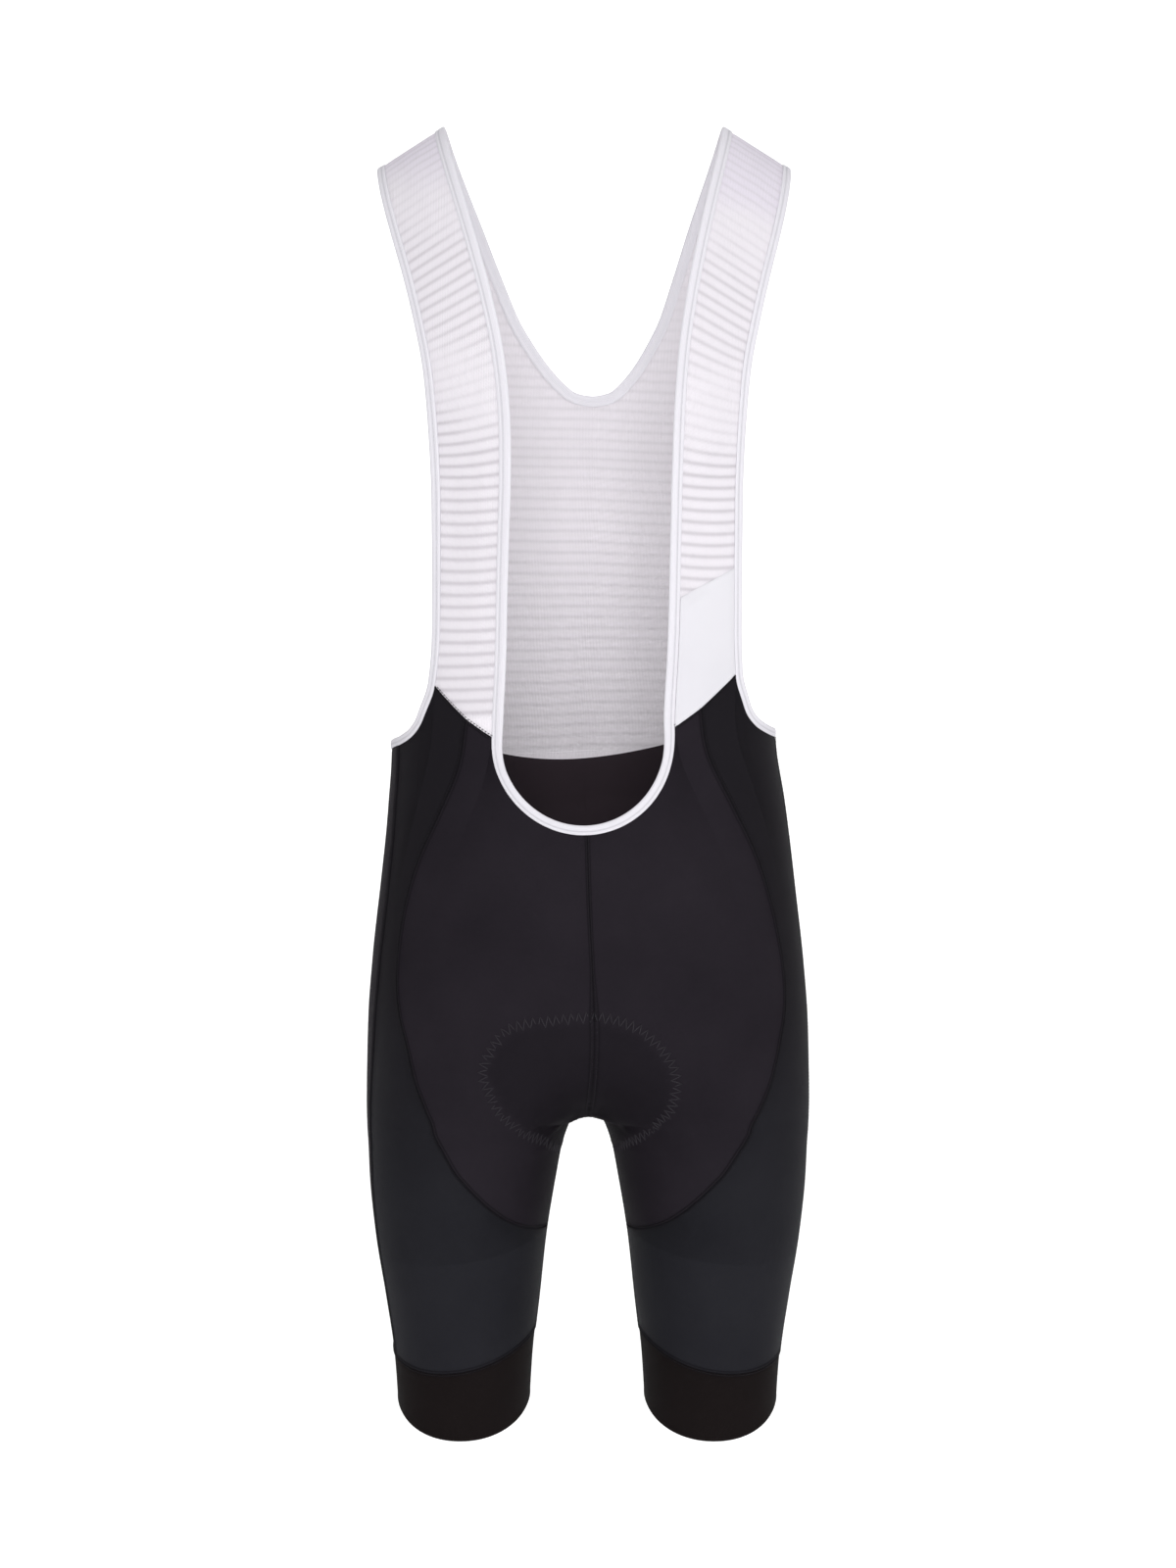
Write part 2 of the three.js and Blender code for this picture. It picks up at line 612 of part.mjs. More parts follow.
function meshBack() {
  const seam = waistSeam.map((place) => onYoke(place, true)).reverse();
  const rows = yoke.filter(({ run }) => run >= SHOULDER_SEAM_RUN).reverse();
  const low = backNeck.at(-1);
  const neck = [...backNeck].reverse().map(({ x, run }) => [x, run]);
  const arm = [...backArm].reverse().map(({ x, run }) => [x, run]);
  const centre = stations([seam[0], [low.x, low.run]], shoulder, ROWS.backCentre);
  const neckLine = stations([...neck, ...rows.map((row) => [row.neck, row.run])], shoulder, ROWS.backNeck);
  const armRows = [seam.at(-1), ...arm, ...rows.map((row) => [row.arm, row.run])];
  const left = join(centre, neckLine);
  const right = stations(armRows, shoulder, ROWS.backCentre + ROWS.backNeck);
  const end = stations([left.at(-1), right.at(-1)], shoulder, seam.length - 1);
  return span({ left, right, top: seam, bottom: end }, shoulder);
}

function patch() {
  const seam = join(strapSeamInner, strapSeamOuter).map((place) => onYoke(place, false));
  const edge = (name, from, to, inset) => {
    const between = yoke.filter(({ run }) => run > from[1] && run < to).map((row) => [row[name], row.run]);
    const rows = [from, ...between, [column(yoke, 'run', name)(to), to]];
    return stations(rows.map(([x, run]) => [x + inset, run]), shoulder, PATCH.rows);
  };
  const left = edge('neck', seam[0], PATCH.neckRun, PATCH.inset);
  const right = edge('arm', seam.at(-1), PATCH.armRun, -PATCH.inset);
  const slim = seam.map(([x, run], k) => {
    const lean = 1 - (2 * k) / (seam.length - 1);
    return [x + lean * PATCH.inset, run];
  });
  const end = stations([left.at(-1), right.at(-1)], shoulder, seam.length - 1);
  return span({ left, right, top: slim, bottom: end }, shoulder);
}

function pad() {
  const ahead = stations(centreLine(PAD.front, false), body, ROWS.pad);
  const behind = stations(centreLine(PAD.back, true), body, ROWS.pad).reverse();
  const left = join(ahead, behind);
  const right = stations([left[0], ...onBody(padOutline), left.at(-1)], body, 2 * ROWS.pad);
  const ends = (place) => Array.from({ length: COLUMNS.pad + 1 }, () => place);
  return span({ left, right, top: ends(left[0]), bottom: ends(left.at(-1)) }, body);
}

// Cloth edge points with their neighbours inside the cloth
const alongTop = (grid, from, to) => grid[0].slice(from, to + 1).map(({ p, n }, k) => (
  { p, n, inside: grid[1][from + k].p }
));
const alongLeft = (grid, from, to) => grid.slice(from, to + 1).map((line) => (
  { ...line[0], inside: line[1].p }
));
const alongRight = (grid, from, to) => grid.slice(from, to + 1).map((line) => (
  { ...line.at(-1), inside: line.at(-2).p }
));
const flippedPath = (path) => path.map(({ p, n, inside }) => (
  { p: flip(p), n: flip(n), inside: flip(inside) }
));

const strapCloth = strap();
const backCloth = meshBack();
const frontCloth = frontPanel();

function neckPath() {
  const half = [
    ...alongTop(frontCloth, 0, COLUMNS.neck),
    ...alongLeft(strapCloth, 1, ROWS.strap),
    ...alongLeft(backCloth, ROWS.backCentre, ROWS.backCentre + ROWS.backNeck - 1).reverse(),
  ];
  return [...half, ...flippedPath(half.slice(1, -1)).reverse()];
}

function armPath(side, back) {
  const columns = COLUMNS.strapOuter + COLUMNS.underarm;
  return [
    ...alongTop(side, COLUMNS.strapOuter, columns),
    ...alongTop(back, 1, COLUMNS.underarmBack),
    ...alongRight(backCloth, 1, ROWS.backCentre + ROWS.backNeck),
    ...alongRight(strapCloth, 1, ROWS.strap - 1).reverse(),
  ];
}

const finish = {
  lycra: new THREE.MeshStandardMaterial({ color: 0x232126, roughness: 0.6, metalness: 0 }),
  thigh: new THREE.MeshStandardMaterial({ color: 0x25262b, roughness: 0.55, metalness: 0 }),
  band: new THREE.MeshStandardMaterial({ color: 0x1c191a, roughness: 0.7, metalness: 0 }),
  mesh: new THREE.MeshStandardMaterial({ color: 0xeceaf0, roughness: 0.8, metalness: 0 }),
  elastic: new THREE.MeshStandardMaterial({ color: 0xf0eef5, roughness: 0.7, metalness: 0 }),
  pad: new THREE.MeshStandardMaterial({ color: 0x1e1f24, roughness: 0.9, metalness: 0 }),
};

const garment = new THREE.Group();
function sew(name, material, ...shells) {
  const piece = new THREE.Mesh(solid(...shells), material);
  piece.name = name;
  garment.add(piece);
}

for (const [hand, sideTurn] of Object.entries(SIDE_SEAM_TURN)) {
  const side = sidePanel(sideTurn);
  const back = backPanel(sideTurn);
  const shells = {
    front_panel: [finish.lycra, cloth(trimmed(frontCloth, { tip: true }), WALL)],
    side_panel: [finish.thigh, cloth(trimmed(side), WALL)],
    back_panel: [finish.lycra, cloth(trimmed(back), WALL)],
    gripper: [finish.band, cloth(hemBand(sideTurn), WALL, { ring: true })],
    strap: [finish.mesh, cloth(trimmed(strapCloth), MESH_WALL)],
    binding_arm: [finish.elastic, binding(armPath(side, back), ARM_BINDING)],
  };
  for (const [name, [material, shell]] of Object.entries(shells)) {
    sew(`${name}_${hand}`, material, hand === 'left' ? shell : mirrored(shell));
  }
}

const backFold = { centreRows: ROWS.backCentre };
const backHalf = cloth(trimmed(backCloth, backFold), MESH_WALL, backFold);
sew('mesh_back', finish.mesh, backHalf, mirrored(backHalf));
sew('binding_neck', finish.elastic, binding(neckPath(), NECK_BINDING));
sew('strap_patch', finish.elastic, cloth(trimmed(patch()), PATCH.wall, { out: SEAM_GAP + PATCH.wall }));

function padWall(i, j) {
  const across = 1 - (j / COLUMNS.pad) ** 2;
  const along = 1 - (i / ROWS.pad - 1) ** 4;
  return PAD.edge + (PAD.thick - PAD.edge) * across * along;
}
const padHalf = cloth(pad(), padWall, { out: -WALL - PAD.clear, centreRows: 2 * ROWS.pad });
sew('seat_pad', finish.pad, padHalf, mirrored(padHalf));

export default garment;
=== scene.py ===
# %% [markdown]
# # Cycling bib shorts, filled out as in wear
# The real garment is sewn from thin stretch knits: black panels round the hips and legs, a white
# striped mesh over the back and shoulders, white folded elastic round every opening and a foam
# seat insert inside. The solid model gives each cut piece its place. Here each one becomes a fine
# shell over the same body surface, with its seams, stitches, creases and knit.
# The first step loads that solid model as a fixed frame.

# %% The frame
import math
import bmesh
import bpy
import numpy as np
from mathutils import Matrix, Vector


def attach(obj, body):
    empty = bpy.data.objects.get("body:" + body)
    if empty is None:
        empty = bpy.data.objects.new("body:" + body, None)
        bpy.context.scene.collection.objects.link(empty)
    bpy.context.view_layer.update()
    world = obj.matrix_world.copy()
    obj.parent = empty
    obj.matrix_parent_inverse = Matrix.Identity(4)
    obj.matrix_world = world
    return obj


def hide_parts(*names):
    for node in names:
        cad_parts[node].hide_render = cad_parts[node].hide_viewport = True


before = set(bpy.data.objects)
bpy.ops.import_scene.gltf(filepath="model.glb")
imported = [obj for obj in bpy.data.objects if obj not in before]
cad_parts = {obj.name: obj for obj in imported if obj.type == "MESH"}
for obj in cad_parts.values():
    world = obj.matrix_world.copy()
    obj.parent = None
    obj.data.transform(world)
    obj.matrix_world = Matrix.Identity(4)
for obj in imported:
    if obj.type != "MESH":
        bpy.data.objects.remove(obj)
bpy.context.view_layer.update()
MM = 0.001
print("solid pieces:", len(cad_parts))

# %% [markdown]
# ## Camera
# A product photo like this one is taken from a few metres away with a longer lens, level with the
# middle of the garment, so that nothing looks stretched. The frame is 864 mm by 1152 mm where the
# garment hangs, which sets the lens once the distance is chosen.

# %% Camera
CAMERA_DISTANCE = 2.4
FRAME_HEIGHT = 1.152
FRAME_MIDDLE = (0.0007, -0.4666)
SENSOR = 36.0

camera = bpy.data.objects.new("camera", bpy.data.cameras.new("camera"))
bpy.context.scene.collection.objects.link(camera)
camera.data.sensor_width = SENSOR
camera.data.lens = SENSOR * CAMERA_DISTANCE / FRAME_HEIGHT
camera.location = (FRAME_MIDDLE[0], -CAMERA_DISTANCE, FRAME_MIDDLE[1])
camera.rotation_euler = (math.pi / 2, 0, 0)
bpy.context.scene.camera = camera
print("lens:", round(camera.data.lens, 1), "mm")

# %% [markdown]
# ## Studio
# The garment hangs in the air in front of a white sweep: a floor that curves up into a wall, so
# that no horizon shows. Large area lights give the soft, nearly shadowless light of a catalogue
# picture. A plain display transform keeps white cloth white and black cloth black.

# %% Studio
FLOOR_Z = -1.45
SWEEP = {"front": -4.0, "wall": 3.2, "bend": 1.2, "top": 3.0, "half_width": 6.0, "steps": 16}
LIGHTS = {
    "key": {"at": (0.05, -3.3, 0.3), "size": 1.5, "power": 64},
    "fill": {"at": (-1.9, -2.6, 0.3), "size": 2.4, "power": 10},
    "left_edge": {"at": (2.3, -1.0, -0.3), "size": 1.6, "power": 16},
    "top": {"at": (0.0, -0.4, 2.2), "size": 2.0, "power": 16},
}
PAPER_GLOW = 0.45
WHITE_PAPER = (0.9, 0.9, 0.9, 1)


def build_sweep():
    turns = np.linspace(0, math.pi / 2, SWEEP["steps"])
    curve_y = SWEEP["wall"] - SWEEP["bend"] * (1 - np.sin(turns))
    curve_z = FLOOR_Z + SWEEP["bend"] * (1 - np.cos(turns))
    side_y = np.concatenate([[SWEEP["front"]], curve_y, [SWEEP["wall"]]])
    side_z = np.concatenate([[FLOOR_Z], curve_z, [SWEEP["top"]]])
    points = [(x, y, z) for x in (-SWEEP["half_width"], SWEEP["half_width"]) for y, z in zip(side_y, side_z)]
    count = len(side_y)
    faces = [(k, k + count, k + count + 1, k + 1) for k in range(count - 1)]
    mesh = bpy.data.meshes.new("sweep")
    mesh.from_pydata(points, [], faces)
    mesh.polygons.foreach_set("use_smooth", [True] * len(mesh.polygons))
    return bpy.data.objects.new("sweep", mesh)


sweep = build_sweep()
bpy.context.scene.collection.objects.link(sweep)
paper = bpy.data.materials.new("white_paper")
paper.use_nodes = True
paper_shader = paper.node_tree.nodes["Principled BSDF"]
paper_shader.inputs["Base Color"].default_value = WHITE_PAPER
paper_shader.inputs["Roughness"].default_value = 0.9
paper_shader.inputs["Emission Color"].default_value = WHITE_PAPER
paper_shader.inputs["Emission Strength"].default_value = PAPER_GLOW
sweep.data.materials.append(paper)

for name, light in LIGHTS.items():
    lamp = bpy.data.objects.new(name, bpy.data.lights.new(name, "AREA"))
    lamp.data.energy = light["power"]
    lamp.data.size = light["size"]
    lamp.location = light["at"]
    aim = np.array([0, 0, FRAME_MIDDLE[1]]) - np.array(light["at"])
    lamp.rotation_euler = Vector(aim).to_track_quat("-Z", "Y").to_euler()
    bpy.context.scene.collection.objects.link(lamp)

world = bpy.data.worlds.new("studio")
world.use_nodes = True
world.node_tree.nodes["Background"].inputs["Color"].default_value = (1, 1, 1, 1)
world.node_tree.nodes["Background"].inputs["Strength"].default_value = 0.42
bpy.context.scene.world = world
bpy.context.scene.view_settings.view_transform = "Standard"
print("lights:", len(LIGHTS))

# %% [markdown]
# ## The general figure
# Stretch cloth takes the shape of what fills it, so every piece lies on one smooth body surface.
# Sections at chosen heights say how wide and deep that body is, and a smooth curve through each
# column of the table fills in the heights between. Below the crotch a section is one leg.
# Lengths are in millimetres here, because cloth is cut in millimetres.

# %% Sections of the figure
MIDDLE_Y = 5
CROTCH_ROUND = 18
CROTCH_Z = -710
CHEST_Z = -250
SHOULDER_RUN = 300
SHOULDER_SPREAD = 40
SHOULDER = {"x": 103, "z": 16, "slope": 0.635}

sections = [
    {"z": -250, "inner": -166, "outer": 166, "front": 113, "back": 93, "power": 2.3},
    {"z": -340, "inner": -153, "outer": 153, "front": 109, "back": 86, "power": 2.3},
    {"z": -395, "inner": -144, "outer": 144, "front": 104, "back": 84, "power": 2.3},
    {"z": -436, "inner": -142, "outer": 142, "front": 101, "back": 84, "power": 2.3},
    {"z": -481, "inner": -146.5, "outer": 146.5, "front": 100, "back": 91, "power": 2.3},
    {"z": -540, "inner": -153, "outer": 153, "front": 102, "back": 103, "power": 2.3},
    {"z": -596, "inner": -110, "outer": 159, "front": 106, "back": 114, "power": 2.3},
    {"z": -640, "inner": -60, "outer": 162, "front": 108, "back": 118, "power": 2.3},
    {"z": -668, "inner": -20, "outer": 162.6, "front": 107, "back": 115, "power": 2.3},
    {"z": -697, "inner": 9.4, "outer": 163, "front": 102, "back": 109, "power": 2.3},
    {"z": CROTCH_Z, "inner": CROTCH_ROUND, "outer": 162.8, "front": 99, "back": 106, "power": 2.25},
    {"z": -711.5, "inner": 21.2, "outer": 162.7, "front": 98.6, "back": 105.6, "power": 2.25},
    {"z": -714.5, "inner": 22.5, "outer": 162.6, "front": 98, "back": 105, "power": 2.25},
    {"z": -719, "inner": 23.7, "outer": 162.4, "front": 97, "back": 104, "power": 2.25},
    {"z": -728, "inner": 25.7, "outer": 161.8, "front": 96, "back": 102, "power": 2.2},
    {"z": -755, "inner": 29.7, "outer": 160.5, "front": 92, "back": 97, "power": 2.2},
    {"z": -797, "inner": 35.4, "outer": 156, "front": 86, "back": 90, "power": 2.2},
    {"z": -841, "inner": 39.6, "outer": 148.8, "front": 78, "back": 81, "power": 2.15},
    {"z": -884, "inner": 43.9, "outer": 142.6, "front": 69, "back": 72, "power": 2.1},
    {"z": -917, "inner": 45.8, "outer": 140.2, "front": 63, "back": 65, "power": 2.1},
    {"z": -950, "inner": 47.5, "outer": 138.5, "front": 58, "back": 60, "power": 2.1},
]


def column(table, place, name):
    """A smooth curve through one column of a table that never overshoots its values."""
    start = table[0][place]
    at = np.array([abs(start - row[place]) for row in table], float)
    value = np.array([row[name] for row in table], float)
    slope = np.diff(value) / np.diff(at)
    before, after = slope[:-1], slope[1:]
    alike = before * after > 0
    inner = np.zeros(len(before))
    inner[alike] = 2 * before[alike] * after[alike] / (before[alike] + after[alike])
    tangent = np.concatenate([slope[:1], inner, slope[-1:]])

    def curve(where):
        a = np.abs(start - np.asarray(where, float))
        k = np.clip(np.searchsorted(at, a) - 1, 0, len(at) - 2)
        h = at[k + 1] - at[k]
        t = np.clip((a - at[k]) / h, 0, 1)
        u = 1 - t
        ends = u * u * (1 + 2 * t) * value[k] + t * t * (1 + 2 * u) * value[k + 1]
        return ends + h * t * u * (u * tangent[k] - t * tangent[k + 1])

    return curve


section = {name: column(sections, "z", name) for name in ("inner", "outer", "front", "back", "power")}
print("sections:", len(sections))

# %% [markdown]
# ## Places on the body
# A place on the trunk or a leg is a turn in degrees and a height: 0 is the inseam, 90 the front,
# 180 the outer side and 270 the back. A place on a strap or the mesh back is x and the run over the
# shoulder: negative in front, 0 on the crest. Each function gives the point and the direction
# that faces out, for whole arrays at once, so a piece of any fineness costs one call.

# %% Body and shoulder surfaces
SLOPE_STEP = 0.5


def signed_power(value, power):
    return np.sign(value) * np.abs(value) ** power


def unit(vectors):
    return vectors / np.maximum(np.linalg.norm(vectors, axis=-1, keepdims=True), 1e-12)


def oval(z):
    inner, outer = section["inner"](z), section["outer"](z)
    return (outer + inner) / 2, (outer - inner) / 2


def spread_at(x, y, z):
    """1 on the body's surface, less inside it and more outside."""
    middle, half = oval(z)
    power = section["power"](z)
    depth = np.where(y < MIDDLE_Y, section["front"](z), section["back"](z))
    across = (np.hypot(x, CROTCH_ROUND) - middle) / half
    return np.abs(across) ** power + np.abs((y - MIDDLE_Y) / depth) ** power


def body(turn, z):
    turn, z = np.broadcast_arrays(np.asarray(turn, float), np.asarray(z, float))
    middle, half = oval(z)
    power = section["power"](z)
    angle = np.radians(turn)
    across = -signed_power(np.cos(angle), 2 / power)
    deep = -signed_power(np.sin(angle), 2 / power)
    reach = np.maximum(CROTCH_ROUND, middle + half * across)
    x = np.sqrt(np.maximum(0, reach**2 - CROTCH_ROUND**2))
    depth = np.where(deep < 0, section["front"](z), section["back"](z))
    y = MIDDLE_Y + depth * deep
    slope_x = signed_power(across, power - 1) / half * x / reach
    slope_y = signed_power(deep, power - 1) / depth
    rise = spread_at(x, y, z + SLOPE_STEP) - spread_at(x, y, z - SLOPE_STEP)
    slope_z = rise / (2 * SLOPE_STEP * power)
    return np.stack([x, y, z], -1), unit(np.stack([slope_x, slope_y, slope_z], -1))


def turn_at(x, z, behind=False):
    middle, half = oval(z)
    across = np.clip((np.hypot(x, CROTCH_ROUND) - middle) / half, -1, 1)
    turn = np.degrees(np.arccos(-signed_power(across, section["power"](z) / 2)))
    return 360 - turn if behind else turn


def yoke_point(x, run):
    over = np.abs(run)
    bend = np.minimum(over / SHOULDER_RUN, 1) * math.pi / 2
    low_z = CHEST_Z - np.maximum(over - SHOULDER_RUN, 0)
    middle, half = oval(low_z)
    power = section["power"](low_z)
    half = middle + half + SHOULDER_SPREAD * np.cos(bend)
    across = np.minimum(1, np.hypot(x, CROTCH_ROUND) / half)
    rounded = (1 - across**power) ** (1 / power)
    depth = np.where(run > 0, section["back"](low_z), -section["front"](low_z))
    crest = SHOULDER["z"] - (np.abs(x) - SHOULDER["x"]) * SHOULDER["slope"]
    z = low_z + (crest - CHEST_Z) * np.cos(bend)
    return np.stack([x, MIDDLE_Y + depth * rounded * np.sin(bend), z], -1)


def shoulder(x, run):
    x, run = np.broadcast_arrays(np.asarray(x, float), np.asarray(run, float))
    near = np.where(np.abs(run) < SLOPE_STEP, SLOPE_STEP * 2, run)
    aside = yoke_point(x + SLOPE_STEP, near) - yoke_point(x - SLOPE_STEP, near)
    along = yoke_point(x, near + SLOPE_STEP) - yoke_point(x, near - SLOPE_STEP)
    return yoke_point(x, run), unit(np.cross(aside, along))


def run_of(z):
    return SHOULDER_RUN + CHEST_Z - z


test_point, test_normal = body(90, -600)
print("front of the body at -600:", test_point.round(1), "faces", test_normal.round(2))

# %% [markdown]
# ## How it hangs
# No garment hangs quite true. Here the wearer's right side sits lower at the waist, the neck opening
# leans a little to one side and the crotch seam drifts at the front. One smooth warp, applied to every
# finished point, moves all pieces and stitches together, so nothing comes apart at a seam.

# %% Hang
HANG = {
    "waist": {"lift": 4.4, "reach": 50, "z": -420, "spread": 95},
    "underarm": {"shift": -2.8, "z": -432, "spread": 45},
    "neck": {"shift": 4.8, "half_width": 112, "z": -205, "spread": 110},
    "hip": {"shift": 5.5, "y": 0, "depth": 100, "z": -655, "spread": 95},
    "crest": {"shift": -2.6, "z": 20, "spread": 90},
}


def bell(value, centre, spread):
    return np.exp(-(((value - centre) / spread) ** 2))


def hang(points):
    x, y, z = points[..., 0], points[..., 1], points[..., 2]
    waist, underarm, neck, hip, crest = HANG.values()
    forward = np.clip((hip["y"] - y) / hip["depth"], 0, 1)
    middle = np.maximum(0, 1 - (x / neck["half_width"]) ** 2)
    aside = neck["shift"] * middle * bell(z, neck["z"], neck["spread"])
    aside = aside + hip["shift"] * forward * bell(z, hip["z"], hip["spread"])
    for place in (crest, underarm):
        aside = aside + place["shift"] * bell(z, place["z"], place["spread"])
    lift = waist["lift"] * np.tanh(x / waist["reach"]) * bell(z, waist["z"], waist["spread"])
    return np.stack([x + aside, y, z + lift], -1)


print("hang at the left hip:", (hang(np.array([160.0, -50, -430])) - [160, -50, -430]).round(2))

# %% [markdown]
# ## Cutting lines
# A pattern cutter draws each seam once and both pieces share it. The same is done here: a line is a
# few places, joined smoothly and then walked at even steps measured on the body. Four lines span a
# piece, and steps get shorter near its edges, where the sewn seam needs fine relief.

# %% Lines on a surface
EDGE_FADE = 3
LINE_STEPS = 1200
EDGE_STEPS = [0.7, 1.5, 2.4, 3.4, 4.6]


def smooth_line(rows):
    """Many places along a centripetal curve through a few."""
    points = np.array(rows, float)
    ends = np.vstack([2 * points[0] - points[1], points, 2 * points[-1] - points[-2]])
    t = np.linspace(0, len(points) - 1, LINE_STEPS + 1)
    k = np.minimum(t.astype(int), len(points) - 2)
    w = (t - k)[:, None]
    p0, p1, p2, p3 = (ends[k + step] for step in range(4))
    gap = [np.sqrt(np.linalg.norm(b - a, axis=1, keepdims=True)) for a, b in ((p0, p1), (p1, p2), (p2, p3))]
    t1 = (p1 - p0) / gap[0] - (p2 - p0) / (gap[0] + gap[1]) + (p2 - p1) / gap[1]
    t2 = (p2 - p1) / gap[1] - (p3 - p1) / (gap[1] + gap[2]) + (p3 - p2) / gap[2]
    t1, t2 = t1 * gap[1], t2 * gap[1]
    return p1 + t1 * w + (3 * (p2 - p1) - 2 * t1 - t2) * w**2 + (2 * (p1 - p2) + t1 + t2) * w**3


def walk(rows, surface, shares):
    """Places at the given shares of a line's length on the surface."""
    places = smooth_line(rows)
    points, _ = surface(places[:, 0], places[:, 1])
    length = np.concatenate([[0], np.cumsum(np.linalg.norm(np.diff(points, axis=0), axis=1))])
    wanted = np.asarray(shares) * length[-1]
    return np.stack([np.interp(wanted, length, places[:, k]) for k in range(2)], -1)


def shares(cells, length, fine_start=False, fine_end=False):
    """Steps along a line as shares of it: even cells, with extra short steps at its fine ends."""
    even = np.linspace(0, 1, cells + 1)
    fine = np.array(EDGE_STEPS) / length
    clear = 1.25 * fine[-1]
    parts = [even[(even > clear * fine_start) & (even < 1 - clear * fine_end)]]
    parts = [[0]] + ([fine] if fine_start else []) + parts + ([1 - fine[::-1]] if fine_end else []) + [[1]]
    return np.unique(np.concatenate(parts).round(6))


def join(*lines):
    return np.vstack([lines[0]] + [line[1:] for line in lines[1:]])


def span(left, right, top, bottom, surface, u, v):
    """Grid between four lines. The shapes of the top and bottom lines fade out away from them."""
    u, v = u[None, :, None], v[:, None, None]
    above = top[None] - (1 - u) * top[0] - u * top[-1]
    below = bottom[None] - (1 - u) * bottom[0] - u * bottom[-1]
    place = (1 - u) * left[:, None] + u * right[:, None]
    place = place + (1 - v) ** EDGE_FADE * above + v**EDGE_FADE * below
    points, normals = surface(place[..., 0], place[..., 1])
    return {"p": points, "n": normals, "place": place}


def on_centre(grid, column, rows):
    """Sets the first rows of a column exactly on the garment's centre line."""
    grid["p"][:rows, column, 0] = 0
    grid["n"][:rows, column, 0] = 0
    grid["n"][:rows, column] = unit(grid["n"][:rows, column])
    return grid


print("steps near an edge:", EDGE_STEPS, "mm")

# %% [markdown]
# ## The pattern
# These are the lines where the real garment is cut and sewn: the slanted seams at the foot of the
# straps, the long curved seams that run from them to the inner thigh, the side seams, the waist seam
# under the mesh back, the hem bands and the openings. Both halves share them, except that the side
# seam shows nearer the front on the wearer's right.

# %% Seams and openings
FRONT_NECK = {"z": -435.5, "half_width": 64.5, "depth": 67}
WAIST_SEAM = {"z": -446.8, "half_width": 118, "rise": 25.2}
SIDE_SEAM_TURN = {"left": 176, "right": 161}
BAND_TOP = {"z": -871, "front_dip": 11, "outer_dip": 8, "even_dip": 6}
HEM = {"z": -914.6, "dip": 24, "back_share": 0.325, "softness": 0.25}
SHOULDER_SEAM_RUN = 30

armhole = [
    {"turn": 136.5, "z": -392.5},
    {"turn": 137.7, "z": -399.4},
    {"turn": 141.2, "z": -411.2},
    {"turn": 144.8, "z": -421.6},
    {"turn": 150.7, "z": -429.2},
    {"turn": 158.1, "z": -433.2},
    {"turn": 165.3, "z": -435.2},
    {"turn": 180, "z": -436.5},
]
strap_seam = [
    {"x": 64.4, "z": -430},
    {"x": 83.5, "z": -416.5},
    {"x": 107.4, "z": -392.5},
]
curved_seam = [
    {"turn": 126.7, "z": -452},
    {"turn": 133.8, "z": -486},
    {"turn": 141.6, "z": -518},
    {"turn": 146.2, "z": -547},
    {"turn": 147.2, "z": -572},
    {"turn": 145.5, "z": -608},
    {"turn": 140.6, "z": -632},
    {"turn": 133.3, "z": -652},
    {"turn": 122.7, "z": -678},
    {"turn": 110.8, "z": -701},
    {"turn": 98.5, "z": -728},
    {"turn": 87.2, "z": -750},
    {"turn": 71.7, "z": -768},
    {"turn": 54.7, "z": -780},
    {"turn": 32, "z": -787},
    {"turn": 0, "z": -789.5},
]
yoke = [
    {"run": -420, "neck": 64.5, "arm": 105.4},
    {"run": -390, "neck": 64.6, "arm": 104.7},
    {"run": -330, "neck": 64.4, "arm": 104.6},
    {"run": -300, "neck": 64.3, "arm": 105},
    {"run": -270, "neck": 65.5, "arm": 107.2},
    {"run": -240, "neck": 69.5, "arm": 111},
    {"run": -210, "neck": 76.5, "arm": 118},
    {"run": -180, "neck": 84.5, "arm": 125.5},
    {"run": -150, "neck": 92, "arm": 132.8},
    {"run": -120, "neck": 98.5, "arm": 138.6},
    {"run": -90, "neck": 103.5, "arm": 142.6},
    {"run": -60, "neck": 106.8, "arm": 144.9},
    {"run": -30, "neck": 108.4, "arm": 146},
    {"run": 0, "neck": 108.8, "arm": 146.3},
    {"run": 30, "neck": 107.6, "arm": 144.9},
    {"run": 60, "neck": 104.8, "arm": 142},
    {"run": 90, "neck": 100, "arm": 137.8},
    {"run": 120, "neck": 93, "arm": 132.4},
    {"run": 150, "neck": 84, "arm": 126.4},
    {"run": 180, "neck": 73.5, "arm": 120.6},
]
back_neck = [
    (0, 258.5), (4.5, 257.9), (9, 257.0), (13.5, 255.9), (18, 254.4), (26, 249.5),
    (35, 242.3), (44, 233), (52.5, 222.2), (60.5, 210),
]
back_arm = [(113.6, 461.2), (109.1, 449.4), (107.6, 442.5), (105.6, 425), (105.6, 380), (107, 300)]
back_arm = back_arm + [(111.2, 240), (115.4, 210)]

armhole_z = column(armhole, "turn", "z")
neck_x = column(yoke, "run", "neck")
arm_x = column(yoke, "run", "arm")
seam_inner, seam_middle, seam_outer = [(float(turn_at(row["x"], row["z"])), row["z"]) for row in strap_seam]
front_seam_rows = [seam_middle] + [(row["turn"], row["z"]) for row in curved_seam]
TIP_Z = curved_seam[-1]["z"]


def hem_z(turn):
    front = np.sin(np.radians(turn))
    even = np.hypot(front, HEM["softness"])
    return HEM["z"] - HEM["dip"] * ((1 - HEM["back_share"]) * front + HEM["back_share"] * even)


def band_top_z(turn):
    front, outer = np.sin(np.radians(turn)), -np.cos(np.radians(turn))
    dips = BAND_TOP["front_dip"] * front + BAND_TOP["outer_dip"] * outer + BAND_TOP["even_dip"] * front**2
    return BAND_TOP["z"] - dips


